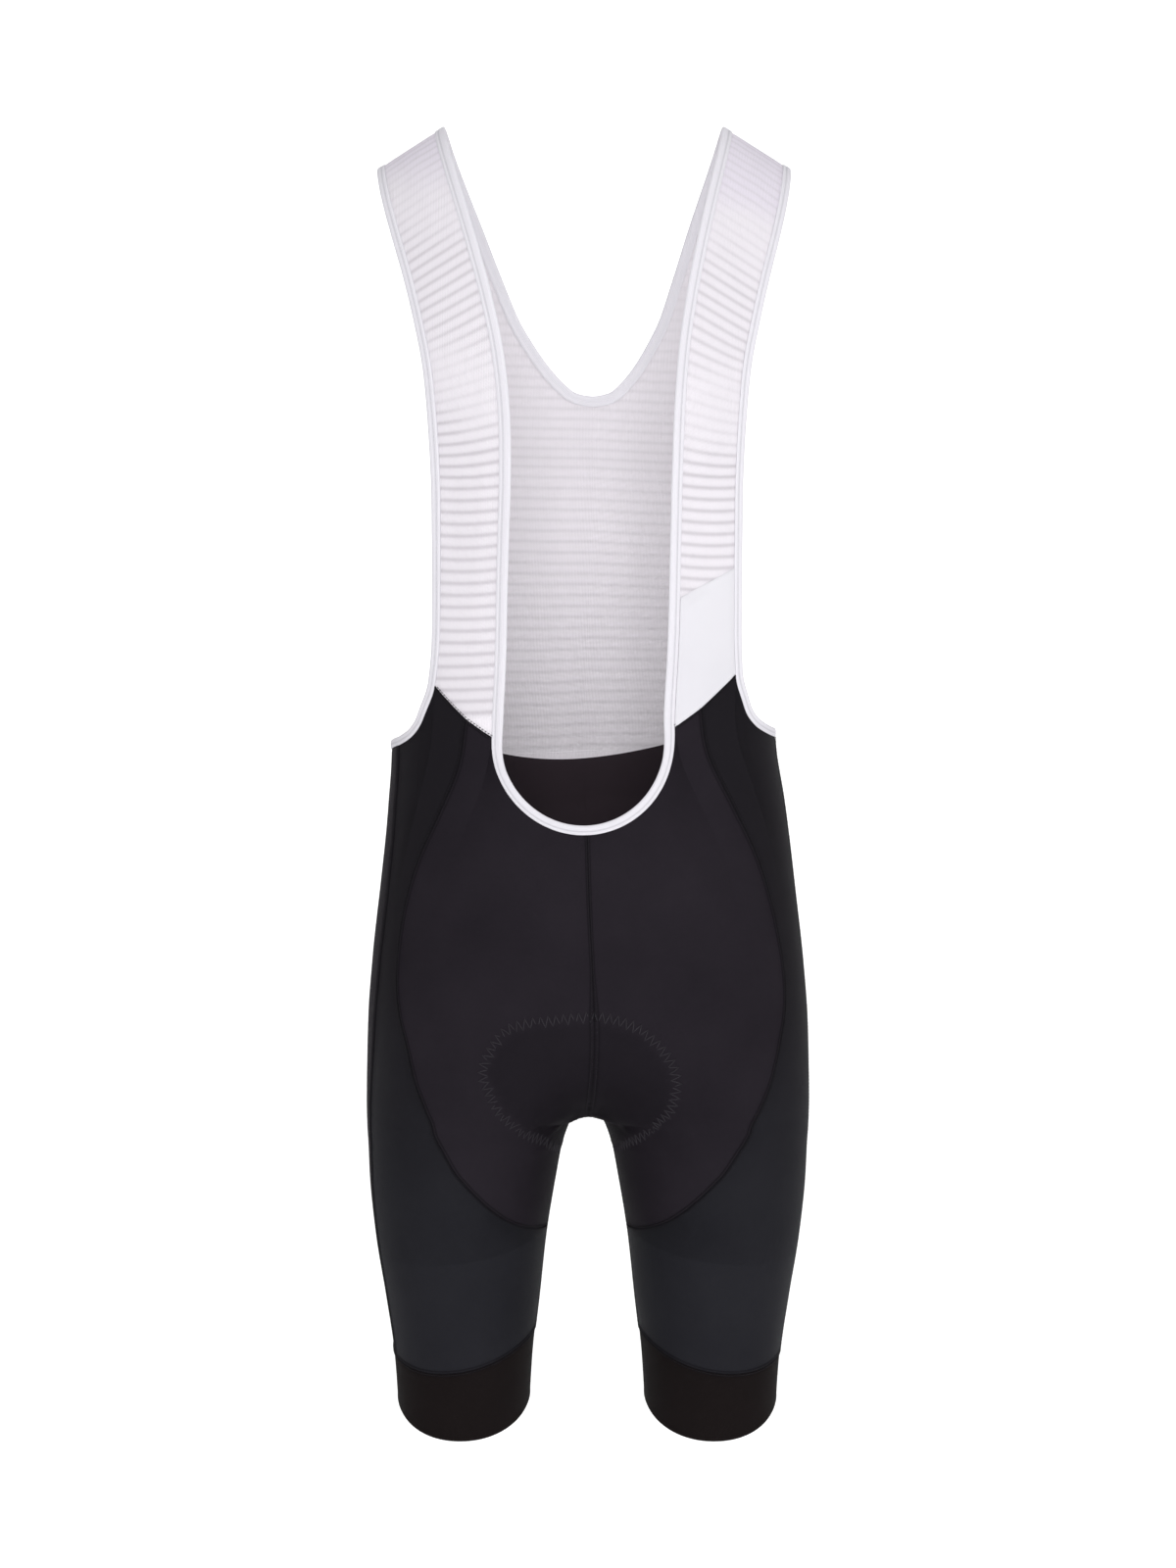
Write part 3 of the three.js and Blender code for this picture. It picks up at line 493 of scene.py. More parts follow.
def centre_rows(from_z, behind):
    """The body's centre line from a height down to the crotch. Turns behind are negative."""
    z = CROTCH_Z + (from_z - CROTCH_Z) * (1 - np.linspace(0, 1, 61)) ** 2
    turn = turn_at(0 * z, z)
    turn[-1] = 0
    return np.stack([-turn if behind else turn, z], -1)


def band_rows(start, end):
    turn = np.linspace(start, end, 49)
    return np.stack([turn, band_top_z(turn)], -1)


def waist_rows():
    x = WAIST_SEAM["half_width"] * np.linspace(1, 0, 13)
    z = WAIST_SEAM["z"] + WAIST_SEAM["rise"] * (x / WAIST_SEAM["half_width"]) ** 2
    return np.stack([turn_at(x, z, behind=True), z], -1)


def neck_rows():
    swing = np.linspace(0, math.pi / 2, 13)
    z = FRONT_NECK["z"] - FRONT_NECK["depth"] * np.cos(swing)
    return np.stack([turn_at(FRONT_NECK["half_width"] * np.sin(swing), z), z], -1)


print("curved seam ends on the inseam at", TIP_Z)

# %% [markdown]
# ## Grids of the cut pieces
# Each piece is now a grid between its four lines. Straps and back are laid out on the shoulder
# surface, the rest on the body. Where two pieces meet, both take the same steps along the seam.

# %% Body panels
def along(*parts):
    """Steps of a line made of parts, each (cells, length, fine_start, fine_end), and of the whole."""
    steps = [shares(*part) for part in parts]
    total = sum(part[1] for part in parts)
    starts = np.cumsum([0] + [part[1] for part in parts[:-1]]) / total
    whole = [start + step * part[1] / total for start, step, part in zip(starts, steps, parts)]
    return steps, np.concatenate([whole[0]] + [step[1:] for step in whole[1:]])


TO_CROTCH = (80, 280, True, False)
TO_TIP = (30, 120, False, True)
TO_BAND = (22, 80, False, True)
(crotch_steps, tip_steps, band_steps), side_down = along(TO_CROTCH, TO_TIP, TO_BAND)
_, front_down = along(TO_CROTCH, TO_TIP)
(neck_steps, inner_steps), front_across = along((34, 105, True, False), (8, 24, False, True))
(outer_steps, underarm_steps), side_across = along((10, 34, True, False), (28, 100, False, True))
(underarm_back_steps, waist_steps), back_across = along((16, 60, True, False), (42, 150, False, True))

front_seam = walk(front_seam_rows, body, front_down)
front_inseam = walk([(0, CROTCH_Z), (0, TIP_Z)], body, tip_steps)
low_inseam = walk([(0, TIP_Z), (0, float(band_top_z(0)))], body, band_steps)
waist_seam = walk(waist_rows(), body, waist_steps)
strap_seam_inner = walk([seam_inner, seam_middle], body, inner_steps)
strap_seam_outer = walk([seam_middle, seam_outer], body, outer_steps)


def full_turn(line):
    return line + [360, 0]


def front_panel():
    top = join(walk(np.vstack([neck_rows(), [seam_inner]]), body, neck_steps), strap_seam_inner)
    centre = walk(centre_rows(neck_rows()[0][1], False), body, crotch_steps)
    tip = np.repeat(front_seam[-1:], len(top), axis=0)
    grid = span(join(centre, front_inseam), front_seam, top, tip, body, front_across, front_down)
    return on_centre(grid, 0, len(centre))


def side_seam(side_turn):
    ends = [(side_turn, float(armhole_z(side_turn))), (side_turn, float(band_top_z(side_turn)))]
    return walk(ends, body, side_down)


def side_panel(side_turn):
    lower = [row for row in armhole if seam_outer[1] > row["z"] and row["turn"] < side_turn]
    under = [(row["turn"], row["z"]) for row in lower]
    arm_rows = [seam_outer] + under + [(side_turn, float(armhole_z(side_turn)))]
    top = join(strap_seam_outer, walk(arm_rows, body, underarm_steps))
    bottom = walk(band_rows(0, side_turn), body, side_across)
    return span(join(front_seam, low_inseam), side_seam(side_turn), top, bottom, body, side_across, side_down)


def back_panel(side_turn):
    corner = waist_seam[0]
    behind = [(360 - row["turn"], row["z"]) for row in reversed(armhole)]
    under = [place for place in behind if side_turn < place[0] < corner[0]]
    arm_rows = [(side_turn, float(armhole_z(side_turn)))] + under + [tuple(corner)]
    top = join(walk(arm_rows, body, underarm_back_steps), waist_seam)
    centre = walk(centre_rows(WAIST_SEAM["z"], True), body, crotch_steps)
    right = full_turn(join(centre, front_inseam, low_inseam))
    bottom = walk(band_rows(side_turn, 360), body, back_across)
    grid = span(side_seam(side_turn), right, top, bottom, body, back_across, side_down)
    return on_centre(grid, -1, len(centre))


def hem_band():
    places = walk(band_rows(0, 360), body, np.linspace(0, 1, 161))
    turn = places[:, 0]
    top = places[:, 1]
    v = shares(18, 50, True, True)[:, None]
    z = top + (hem_z(turn) - top) * v
    points, normals = body(np.broadcast_to(turn, z.shape), z)
    return {"p": points, "n": normals, "place": np.stack([np.broadcast_to(turn, z.shape), z], -1)}


front_grid = front_panel()
print("front panel grid:", front_grid["p"].shape[:2], "side panel grid:", side_panel(176)["p"].shape[:2])

# %% Straps, mesh back and patch
PATCH = {"neck_run": -387, "arm_run": -365, "inset": 0.6, "wall": 0.8, "lift": 0.85}
strap_steps = shares(150, 440, True, True)
(centre_steps, u_steps), back_down = along((52, 190, True, False), (92, 300, False, True))
half_across = shares(40, 118, True, True)


def on_yoke(places, behind):
    points, _ = body(places[:, 0], places[:, 1])
    run = run_of(places[:, 1])
    return np.stack([points[:, 0], run if behind else -run], -1)


strap_foot = on_yoke(join(strap_seam_inner, strap_seam_outer), False)
strap_across = np.concatenate([inner_steps * 24, 24 + outer_steps[1:] * 34]) / 58


def strap():
    rows = [row for row in yoke if row["run"] <= SHOULDER_SEAM_RUN]
    left = walk([strap_foot[0]] + [(row["neck"], row["run"]) for row in rows], shoulder, strap_steps)
    right = walk([strap_foot[-1]] + [(row["arm"], row["run"]) for row in rows], shoulder, strap_steps)
    end = walk([left[-1], right[-1]], shoulder, strap_across)
    return span(left, right, strap_foot, end, shoulder, strap_across, strap_steps)


def mesh_back():
    rows = [row for row in reversed(yoke) if row["run"] >= SHOULDER_SEAM_RUN]
    foot = walk(on_yoke(waist_seam[::-1], True), shoulder, half_across)
    centre = walk([foot[0], back_neck[0]], shoulder, centre_steps)
    neck = walk(back_neck + [(row["neck"], row["run"]) for row in rows], shoulder, u_steps)
    left = join(centre, neck)
    arm_rows = [foot[-1]] + back_arm + [(row["arm"], row["run"]) for row in rows]
    right = walk(arm_rows, shoulder, back_down)
    end = walk([left[-1], right[-1]], shoulder, half_across)
    return on_centre(span(left, right, foot, end, shoulder, half_across, back_down), 0, len(centre))


def patch():
    steps = shares(30, 100, True, True)

    def edge(curve, start, to, inset):
        between = [(float(curve(row["run"])), row["run"]) for row in yoke if start[1] < row["run"] < to]
        rows = [tuple(start)] + between + [(float(curve(to)), to)]
        return walk([(x + inset, run) for x, run in rows], shoulder, steps)

    left = edge(neck_x, strap_foot[0], PATCH["neck_run"], PATCH["inset"])
    right = edge(arm_x, strap_foot[-1], PATCH["arm_run"], -PATCH["inset"])
    lean = 1 - 2 * strap_across
    foot = strap_foot + np.stack([lean * PATCH["inset"], 0 * lean], -1)
    end = walk([left[-1], right[-1]], shoulder, strap_across)
    return span(left, right, foot, end, shoulder, strap_across, steps)


strap_grid = strap()
back_grid = mesh_back()
print("strap grid:", strap_grid["p"].shape[:2], "half of the mesh back:", back_grid["p"].shape[:2])

# %% [markdown]
# ## Print of the seat pad
# The seat insert is sewn to the inside, and its edge shows through the tight cloth: a zigzag line of
# thread sunk in a shallow groove, a faint ridge just inside it, and a soft raised area within. How
# far a point lies inside the insert's outline gives all three. The insert of the photographed pair
# is sewn in a little towards the wearer's right, so its print is wider on that side.

# %% Outline of the pad
PAD = {"front": -631, "back": -606, "thick": 8, "edge": 2.5, "clear": 2.1}
PAD_ROWS = 60
PAD_PRINT = "pad_print"
PRINT_WIDTH = {"left": 0.945, "right": 1.055}
PRINT_INSET = 4.2
pad_outline = [
    (88.7, -638), (90.7, -653), (86.8, -676), (74.1, -699), (62.8, -709), (46.7, -718), (24, -728),
    (0, -733), (-26, -729), (-53.8, -718), (-73.9, -704), (-89.2, -682), (-97.9, -652), (-99.3, -626),
    (-94.1, -611),
]


def pad_lines(wide=1.0):
    steps = np.linspace(0, 1, PAD_ROWS + 1)
    ahead = walk(centre_rows(PAD["front"], False), body, steps)
    behind = walk(centre_rows(PAD["back"], True), body, steps)[::-1]
    middle = join(ahead, behind)
    rows = np.vstack([middle[:1], np.multiply(pad_outline, [wide, 1]), middle[-1:]])
    return middle, walk(rows, body, np.linspace(0, 1, 2 * PAD_ROWS + 1))


pad_middle, pad_edge = pad_lines()
printed = {}
for hand, wide in PRINT_WIDTH.items():
    edge = pad_lines(wide)[1]
    points, normals = body(edge[:, 0], edge[:, 1])
    printed[hand] = {"places": edge, "p": points, "n": normals}


def inside_outline(places, edge):
    """Which places lie between an outline of the pad and the centre line."""
    turn = np.where(places[..., 0] > 180, places[..., 0] - 360, places[..., 0])
    ring = np.vstack([edge, pad_middle[::-1]])
    inside = np.zeros(turn.shape, bool)
    for start, end in zip(ring, np.roll(ring, -1, axis=0)):
        crosses = (start[1] > places[..., 1]) != (end[1] > places[..., 1])
        if crosses.any():
            at = start[0] + (places[..., 1] - start[1]) / (end[1] - start[1] + 1e-9) * (end[0] - start[0])
            inside ^= crosses & (turn < at)
    return inside


def pad_print(grid, hand):
    """Relief of the pad's outline on the outside, and 1 well inside it."""
    if grid["place"][..., 1].max() > 0:
        return np.zeros(grid["p"].shape[:2]), np.zeros(grid["p"].shape[:2])
    line = printed[hand]
    gap = np.linalg.norm(grid["p"][:, :, None] - line["p"][None, None, ::2], axis=-1).min(axis=-1)
    depth = np.where(inside_outline(grid["place"], line["places"]), gap, -gap)
    inside = 1 / (1 + np.exp(np.clip((PRINT_INSET - depth) / 1.2, -40, 40)))
    return 0.6 * inside - 0.4 * bell(depth, 0, 2.4) + 0.35 * bell(depth, 5, 1.3), inside


print("pad outline:", len(pad_edge), "places")

# %% [markdown]
# ## Sewn relief and creases
# Stretch knit is joined with flat seams: the two edges butt together and a band of thread holds them,
# so a seam reads as a fine groove in a low raised strip. Creases are few on a garment this tight.
# The main ones are arched folds at the corners of the crotch, with shallow hollows beside them, faint
# drag lines at the hips and under the seat, and soft waves in the straps. Each is one row here.

# %% Relief
SEAM = {"rise": 0.46, "groove": 0.55, "trough": 0.3, "beside": 0.7}
SHADE_HALF = 2.6
FAR = 99.0

creases = [
    {"side": "right", "start": (8, -705), "end": (40, -722), "bow": 3, "height": 1.4, "width": 3.2},
    {"side": "left", "start": (10, -704), "end": (42, -721), "bow": 3, "height": 1.5, "width": 3.4},
    {"side": "right", "start": (60, -692), "end": (34, -720), "bow": -3, "height": -1.7, "width": 6},
    {"side": "left", "start": (72, -690), "end": (44, -716), "bow": -3, "height": -1.9, "width": 7},
    {"side": "right", "start": (24, -726), "end": (58, -738), "bow": 2, "height": 0.8, "width": 5},
    {"side": "left", "start": (26, -727), "end": (62, -742), "bow": 2, "height": 0.7, "width": 5},
    {"side": "left", "start": (108, -672), "end": (140, -650), "bow": 3, "height": 0.5, "width": 7},
    {"side": "right", "start": (112, -684), "end": (146, -668), "bow": 2, "height": 0.45, "width": 8},
    {"side": "left", "start": (20, -770), "end": (88, -812), "bow": 3, "height": 0.5, "width": 9},
    {"side": "right", "start": (26, -758), "end": (80, -792), "bow": 2, "height": -0.5, "width": 8},
    {"side": "left", "start": (296, -726), "end": (344, -716), "bow": -5, "height": -1.6, "width": 7},
    {"side": "right", "start": (290, -730), "end": (346, -718), "bow": -6, "height": -1.8, "width": 7},
    {"side": "left", "start": (300, -742), "end": (348, -736), "bow": -4, "height": 0.9, "width": 5},
    {"side": "right", "start": (304, -748), "end": (350, -738), "bow": -4, "height": 0.8, "width": 5},
    {"side": "left", "start": (250, -484), "end": (286, -470), "bow": 2, "height": 0.6, "width": 7},
    {"side": "right", "start": (244, -492), "end": (290, -478), "bow": 3, "height": 0.7, "width": 8},
    {"side": "right", "start": (262, -800), "end": (318, -816), "bow": 3, "height": 0.5, "width": 8},
    {"side": "left", "start": (256, -788), "end": (306, -802), "bow": 2, "height": 0.5, "width": 9},
]
mesh_creases = [
    {"side": "right", "start": (78, -410), "end": (74, -250), "bow": 2, "height": 0.9, "width": 6},
    {"side": "right", "start": (97, -380), "end": (96, -270), "bow": -1, "height": -0.7, "width": 6},
    {"side": "left", "start": (80, -330), "end": (79, -240), "bow": 2, "height": 0.8, "width": 6},
    {"side": "left", "start": (66, -389), "end": (86, -379), "bow": 2, "height": -1.1, "width": 2.6},
    {"side": "left", "start": (67, -396), "end": (80, -384), "bow": -2, "height": 0.8, "width": 2.4},
    {"side": "left", "start": (70, -402), "end": (76, -372), "bow": 1, "height": -0.5, "width": 3},
    {"side": "left", "start": (98, -300), "end": (104, -210), "bow": 1, "height": -0.7, "width": 7},
    {"side": "right", "start": (112, -150), "end": (126, -40), "bow": 2, "height": 0.8, "width": 8},
    {"side": "left", "start": (116, -170), "end": (128, -60), "bow": -2, "height": 0.9, "width": 8},
    {"side": "left", "start": (38, 300), "end": (30, 470), "bow": 5, "height": 1.2, "width": 10},
    {"side": "left", "start": (74, 280), "end": (70, 460), "bow": -4, "height": -1.1, "width": 9},
    {"side": "right", "start": (30, 330), "end": (44, 480), "bow": -4, "height": 1.1, "width": 9},
    {"side": "right", "start": (82, 270), "end": (72, 440), "bow": 4, "height": -1.0, "width": 10},
    {"side": "left", "start": (96, 150), "end": (112, 60), "bow": 2, "height": 0.8, "width": 8},
    {"side": "right", "start": (100, 160), "end": (116, 50), "bow": -2, "height": 0.9, "width": 8},
]


def flatlock(half):
    """Relief over a flat seam of a given half width, and the distance that shades it."""
    def profile(distance):
        band = SEAM["rise"] / (1 + np.exp(np.clip((distance - half) / 0.25, -40, 40)))
        groove = SEAM["groove"] * bell(distance, 0, 0.75)
        height = band - groove - SEAM["trough"] * bell(distance, half + SEAM["beside"], 0.7)
        return height, distance * SHADE_HALF / half
    return profile


def bound(distance):
    """Cloth drawn down a little where the elastic grips it."""
    return -0.35 * bell(distance, 0, 2.2), distance + FAR


def rolled(distance):
    """The soft turned edge of a hem."""
    return 0.2 * bell(distance, 2, 1.6) - 0.5 * bell(distance, 0, 0.8), distance + FAR


def split(first, second, column):
    """One profile up to a column and another beyond it."""
    def profile(distance):
        before = np.arange(distance.shape[1]) <= column
        return tuple(np.where(before, a, b) for a, b in zip(first(distance), second(distance)))
    return profile


def edge_distances(grid):
    """Distance along the cloth from each grid point to each of its piece's four sides."""
    across = np.linalg.norm(np.diff(grid["p"], axis=1), axis=-1)
    down = np.linalg.norm(np.diff(grid["p"], axis=0), axis=-1)
    u = np.concatenate([0 * across[:, :1], np.cumsum(across, axis=1)], axis=1)
    v = np.concatenate([0 * down[:1], np.cumsum(down, axis=0)], axis=0)
    return {"left": u, "right": u[:, -1:] - u, "top": v, "bottom": v[-1:] - v}


def crease_relief(points, side):
    """Heights of the listed creases of one side at any points."""
    height = np.zeros(points.shape[:-1])
    s = np.linspace(0, 1, 15)
    for row, surface in [(row, body) for row in creases] + [(row, shoulder) for row in mesh_creases]:
        if row["side"] != side:
            continue
        start, end = np.array(row["start"], float), np.array(row["end"], float)
        path = start + s[:, None] * (end - start)
        path[:, 1] += 4 * row["bow"] * s * (1 - s)
        on_path, _ = surface(path[:, 0], path[:, 1])
        gap = np.linalg.norm(points[..., None, :] - on_path, axis=-1)
        fade = np.sin(np.clip(s[gap.argmin(axis=-1)], 0.04, 0.96) * math.pi) ** 0.7
        height += row["height"] * fade * bell(gap.min(axis=-1), 0, row["width"])
    return height


def sewn_relief(grid, sides):
    """Relief of the seams along a piece's sides, and the distance to the nearest seam."""
    distances = edge_distances(grid)
    profiles = [profile(distances[name]) for name, profile in sides.items()]
    return sum(height for height, _ in profiles), np.minimum.reduce([away for _, away in profiles])


print("creases:", len(creases) + len(mesh_creases))

# %% [markdown]
# ## From grid to cloth
# A shell needs an outer face, an inner face one cloth thickness below it and a narrow rim. The cloth's
# own coordinates, in millimetres across and along it, go into a UV map for knit and stripes, and the
# distance to the nearest seam goes into an attribute, so that a material can shade the seam.

# %% Cloth shells
WALL = 1.5
MESH_WALL = 1.2
CLOTH_UV = "cloth"
SEAM_MM = "seam_mm"
INNER_SIDE = "inner_side"


def shell(points, normals, height, crease, wall, uv, seam, open_left=0, ring=False, mirror=False):
    """Vertices and faces of one cloth piece. The first open_left rows have no rim on the left."""
    rows, columns = points.shape[:2]
    outer = points + normals * (height + crease)[..., None]
    inner = points - normals * (np.asarray(wall) - crease)[..., None]
    vertices = np.concatenate([outer.reshape(-1, 3), inner.reshape(-1, 3)])
    if mirror:
        vertices = vertices * [-1, 1, 1]
    index = np.arange(rows * columns).reshape(rows, columns)
    under = index + rows * columns

    def quads(a, b, c, d):
        return np.stack([a.ravel(), b.ravel(), c.ravel(), d.ravel()], -1)

    faces = [
        quads(index[:-1, :-1], index[:-1, 1:], index[1:, 1:], index[1:, :-1]),
        quads(under[:-1, :-1], under[1:, :-1], under[1:, 1:], under[:-1, 1:]),
        quads(index[0, 1:], index[0, :-1], under[0, :-1], under[0, 1:]),
        quads(index[-1, :-1], index[-1, 1:], under[-1, 1:], under[-1, :-1]),
    ]
    if not ring:
        k = open_left
        faces.append(quads(index[k:-1, 0], index[k + 1:, 0], under[k + 1:, 0], under[k:-1, 0]))
        faces.append(quads(index[1:, -1], index[:-1, -1], under[:-1, -1], under[1:, -1]))
    faces = np.concatenate(faces)
    if mirror:
        faces = faces[:, ::-1]
    both = np.concatenate([uv.reshape(-1, 2)] * 2)
    part = {"v": hang(vertices), "f": faces, "uv": both, SEAM_MM: np.concatenate([seam.ravel()] * 2)}
    part[INNER_SIDE] = np.repeat([0.0, 1.0], rows * columns)
    return part


def merge_shells(*shells):
    first = np.cumsum([0] + [len(part["v"]) for part in shells])
    merged = {key: np.concatenate([part[key] for part in shells]) for key in shells[0] if key != "f"}
    merged["f"] = np.concatenate([part["f"] + start for part, start in zip(shells, first)])
    return merged


def signed_volume(vertices, faces):
    a, b, c, d = (vertices[faces[:, k]] for k in range(4))
    return (np.einsum("ij,ij->i", a, np.cross(b, c)) + np.einsum("ij,ij->i", a, np.cross(c, d))).sum() / 6


def object_from(name, part, material, replaces=None, weld=0.01, sharp=60):
    """A finished mesh object in metres, with its faces pointing out."""
    vertices, faces = part["v"], part["f"]
    if signed_volume(vertices, faces) < 0:
        faces = faces[:, ::-1]
    mesh = bpy.data.meshes.new(name)
    mesh.from_pydata((vertices * MM).tolist(), [], faces.tolist())
    corners = faces.ravel()
    if "uv" in part:
        layer = mesh.uv_layers.new(name=CLOTH_UV)
        layer.uv.foreach_set("vector", part["uv"][corners].ravel())
    for attribute in (SEAM_MM, PAD_PRINT, INNER_SIDE):
        if attribute in part:
            mesh.attributes.new(attribute, "FLOAT", "POINT").data.foreach_set("value", part[attribute])
    clean = bmesh.new()
    clean.from_mesh(mesh)
    bmesh.ops.remove_doubles(clean, verts=clean.verts, dist=weld * MM)
    bmesh.ops.dissolve_degenerate(clean, edges=clean.edges, dist=weld * MM / 10)
    clean.to_mesh(mesh)
    clean.free()
    mesh.polygons.foreach_set("use_smooth", [True] * len(mesh.polygons))
    mesh.set_sharp_from_angle(angle=math.radians(sharp))
    piece = bpy.data.objects.new(name, mesh)
    bpy.context.scene.collection.objects.link(piece)
    mesh.materials.append(material)
    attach(piece, "root")
    if replaces:
        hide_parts(replaces)
    return piece

# %% [markdown]
# ## Knit, stripes and seam shade
# The black cloth, the hem bands, the mesh and the elastic are all knits, so they share one group that
# draws loops: fine columns that run along the cloth, crossed by finer rows. A second group gives the
# soft, cloudy change of tone that any worn cloth has, and a third paints shade into the hollow of a seam.
# Their outputs are plain values, which each material uses with colours of its own.

# %% Node helpers and shared groups
def link(tree, source, target):
    tree.links.new(source, target)


def math_node(tree, operation, a, b=None, clamp=False):
    """One step of arithmetic between sockets or numbers."""
    node = tree.nodes.new("ShaderNodeMath")
    node.operation = operation
    node.use_clamp = clamp
    for socket, value in zip(node.inputs, (a, b)):
        if isinstance(value, (int, float)):
            socket.default_value = value
        elif value is not None:
            link(tree, value, socket)
    return node.outputs[0]


def bell_node(tree, ratio):
    """1 where the ratio is 0, and less on both sides of it in the shape of a bell."""
    squared = math_node(tree, "POWER", ratio, 2.0)
    return math_node(tree, "EXPONENT", math_node(tree, "MULTIPLY", squared, -1.0))


def new_group(name, inputs, outputs):
    """A node group with named value or vector sockets, and its two ends."""
    tree = bpy.data.node_groups.new(name, "ShaderNodeTree")
    for socket_name, kind, value in inputs:
        socket = tree.interface.new_socket(socket_name, in_out="INPUT", socket_type=kind)
        if value is not None:
            socket.default_value = value
    for socket_name in outputs:
        tree.interface.new_socket(socket_name, in_out="OUTPUT", socket_type="NodeSocketFloat")
    return tree, tree.nodes.new("NodeGroupInput"), tree.nodes.new("NodeGroupOutput")


def make_knit_group():
    sockets = [
        ("Cloth mm", "NodeSocketVector", None),
        ("Column pitch", "NodeSocketFloat", 0.6),
        ("Row pitch", "NodeSocketFloat", 0.5),
        ("Row share", "NodeSocketFloat", 0.4),
    ]
    tree, start, end = new_group("knit_loops", sockets, ["Height"])
    split = tree.nodes.new("ShaderNodeSeparateXYZ")
    link(tree, start.outputs["Cloth mm"], split.inputs[0])
    waves = []
    for axis, pitch in (("X", "Column pitch"), ("Y", "Row pitch")):
        turns = math_node(tree, "DIVIDE", split.outputs[axis], start.outputs[pitch])
        wave = math_node(tree, "SINE", math_node(tree, "MULTIPLY", turns, 2 * math.pi))
        waves.append(wave)
    rows = math_node(tree, "MULTIPLY", waves[1], start.outputs["Row share"])
    link(tree, math_node(tree, "ADD", waves[0], rows), end.inputs["Height"])
    return tree


def make_mottle_group():
    sockets = [
        ("Position", "NodeSocketVector", None),
        ("Scale", "NodeSocketFloat", 20.0),
        ("Fine share", "NodeSocketFloat", 0.3),
    ]
    tree, start, end = new_group("soft_mottle", sockets, ["Factor"])
    clouds = tree.nodes.new("ShaderNodeTexNoise")
    grain = tree.nodes.new("ShaderNodeTexNoise")
    grain.inputs["Scale"].default_value = 900
    clouds.inputs["Detail"].default_value = 4
    link(tree, start.outputs["Position"], clouds.inputs["Vector"])
    link(tree, start.outputs["Position"], grain.inputs["Vector"])
    link(tree, start.outputs["Scale"], clouds.inputs["Scale"])
    swing = math_node(tree, "SUBTRACT", grain.outputs["Fac"], 0.5)
    fine = math_node(tree, "MULTIPLY", swing, start.outputs["Fine share"])
    link(tree, math_node(tree, "ADD", clouds.outputs["Fac"], fine, clamp=True), end.inputs["Factor"])
    return tree


# Painted shade along a seam: a dark line in its groove and a fainter one in the trough beside its band.
def make_seam_group():
    sockets = [
        ("Distance mm", "NodeSocketFloat", 99.0),
        ("Band mm", "NodeSocketFloat", 3.1),
        ("Width mm", "NodeSocketFloat", 0.7),
    ]
    tree, start, end = new_group("seam_shade", sockets, ["Shade"])
    width = start.outputs["Width mm"]

    def line(distance):
        ratio = math_node(tree, "DIVIDE", distance, width)
        return bell_node(tree, ratio)

    distance = start.outputs["Distance mm"]
    beside = math_node(tree, "ABSOLUTE", math_node(tree, "SUBTRACT", distance, start.outputs["Band mm"]))
    both = math_node(tree, "ADD", line(distance), math_node(tree, "MULTIPLY", line(beside), 0.7), clamp=True)
    link(tree, both, end.inputs["Shade"])
    return tree


knit_group = make_knit_group()
mottle_group = make_mottle_group()
seam_group = make_seam_group()
print("groups:", [tree.name for tree in (knit_group, mottle_group, seam_group)])

# %% [markdown]
# ## Black stretch knit
# Cycling lycra is a dense knit with a soft sheen: dark, a little blue or violet, brighter only where
# it turns away from the eye. A dark base, a fairly rough surface and a weak specular layer give that.
# The thigh panels lean to blue and the hem bands to brown, so each is the same recipe with its own
# two tones. The tones are mixed by the cloudy group and darkened with painted shade in the seams.

# %% Knit materials
def start_material(name):
    material = bpy.data.materials.new(name)
    material.use_nodes = True
    return material, material.node_tree, material.node_tree.nodes["Principled BSDF"]


def place_group(tree, group, **values):
    node = tree.nodes.new("ShaderNodeGroup")
    node.node_tree = group
    for socket, value in values.items():
        node.inputs[socket.replace("_", " ")].default_value = value
    return node


def cloth_coordinates(tree):
    node = tree.nodes.new("ShaderNodeUVMap")
    node.uv_map = CLOTH_UV
    return node.outputs["UV"]


def object_position(tree):
    return tree.nodes.new("ShaderNodeTexCoord").outputs["Object"]


def mix_colours(tree, factor, dark, light):
    node = tree.nodes.new("ShaderNodeMix")
    node.data_type = "RGBA"
    if isinstance(factor, (int, float)):
        node.inputs["Factor"].default_value = factor
    else:
        link(tree, factor, node.inputs["Factor"])
    for socket, value in ((node.inputs[6], dark), (node.inputs[7], light)):
        if isinstance(value, tuple):
            socket.default_value = (*value, 1)
        else:
            link(tree, value, socket)
    return node.outputs[2]


def add_bump(tree, shader, height, distance_mm, strength=1.0):
    node = tree.nodes.new("ShaderNodeBump")
    node.inputs["Strength"].default_value = strength
    node.inputs["Distance"].default_value = distance_mm * MM
    link(tree, height, node.inputs["Height"])
    link(tree, node.outputs["Normal"], shader.inputs["Normal"])


def attribute_value(tree, name):
    node = tree.nodes.new("ShaderNodeAttribute")
    node.attribute_name = name
    return node.outputs["Fac"]


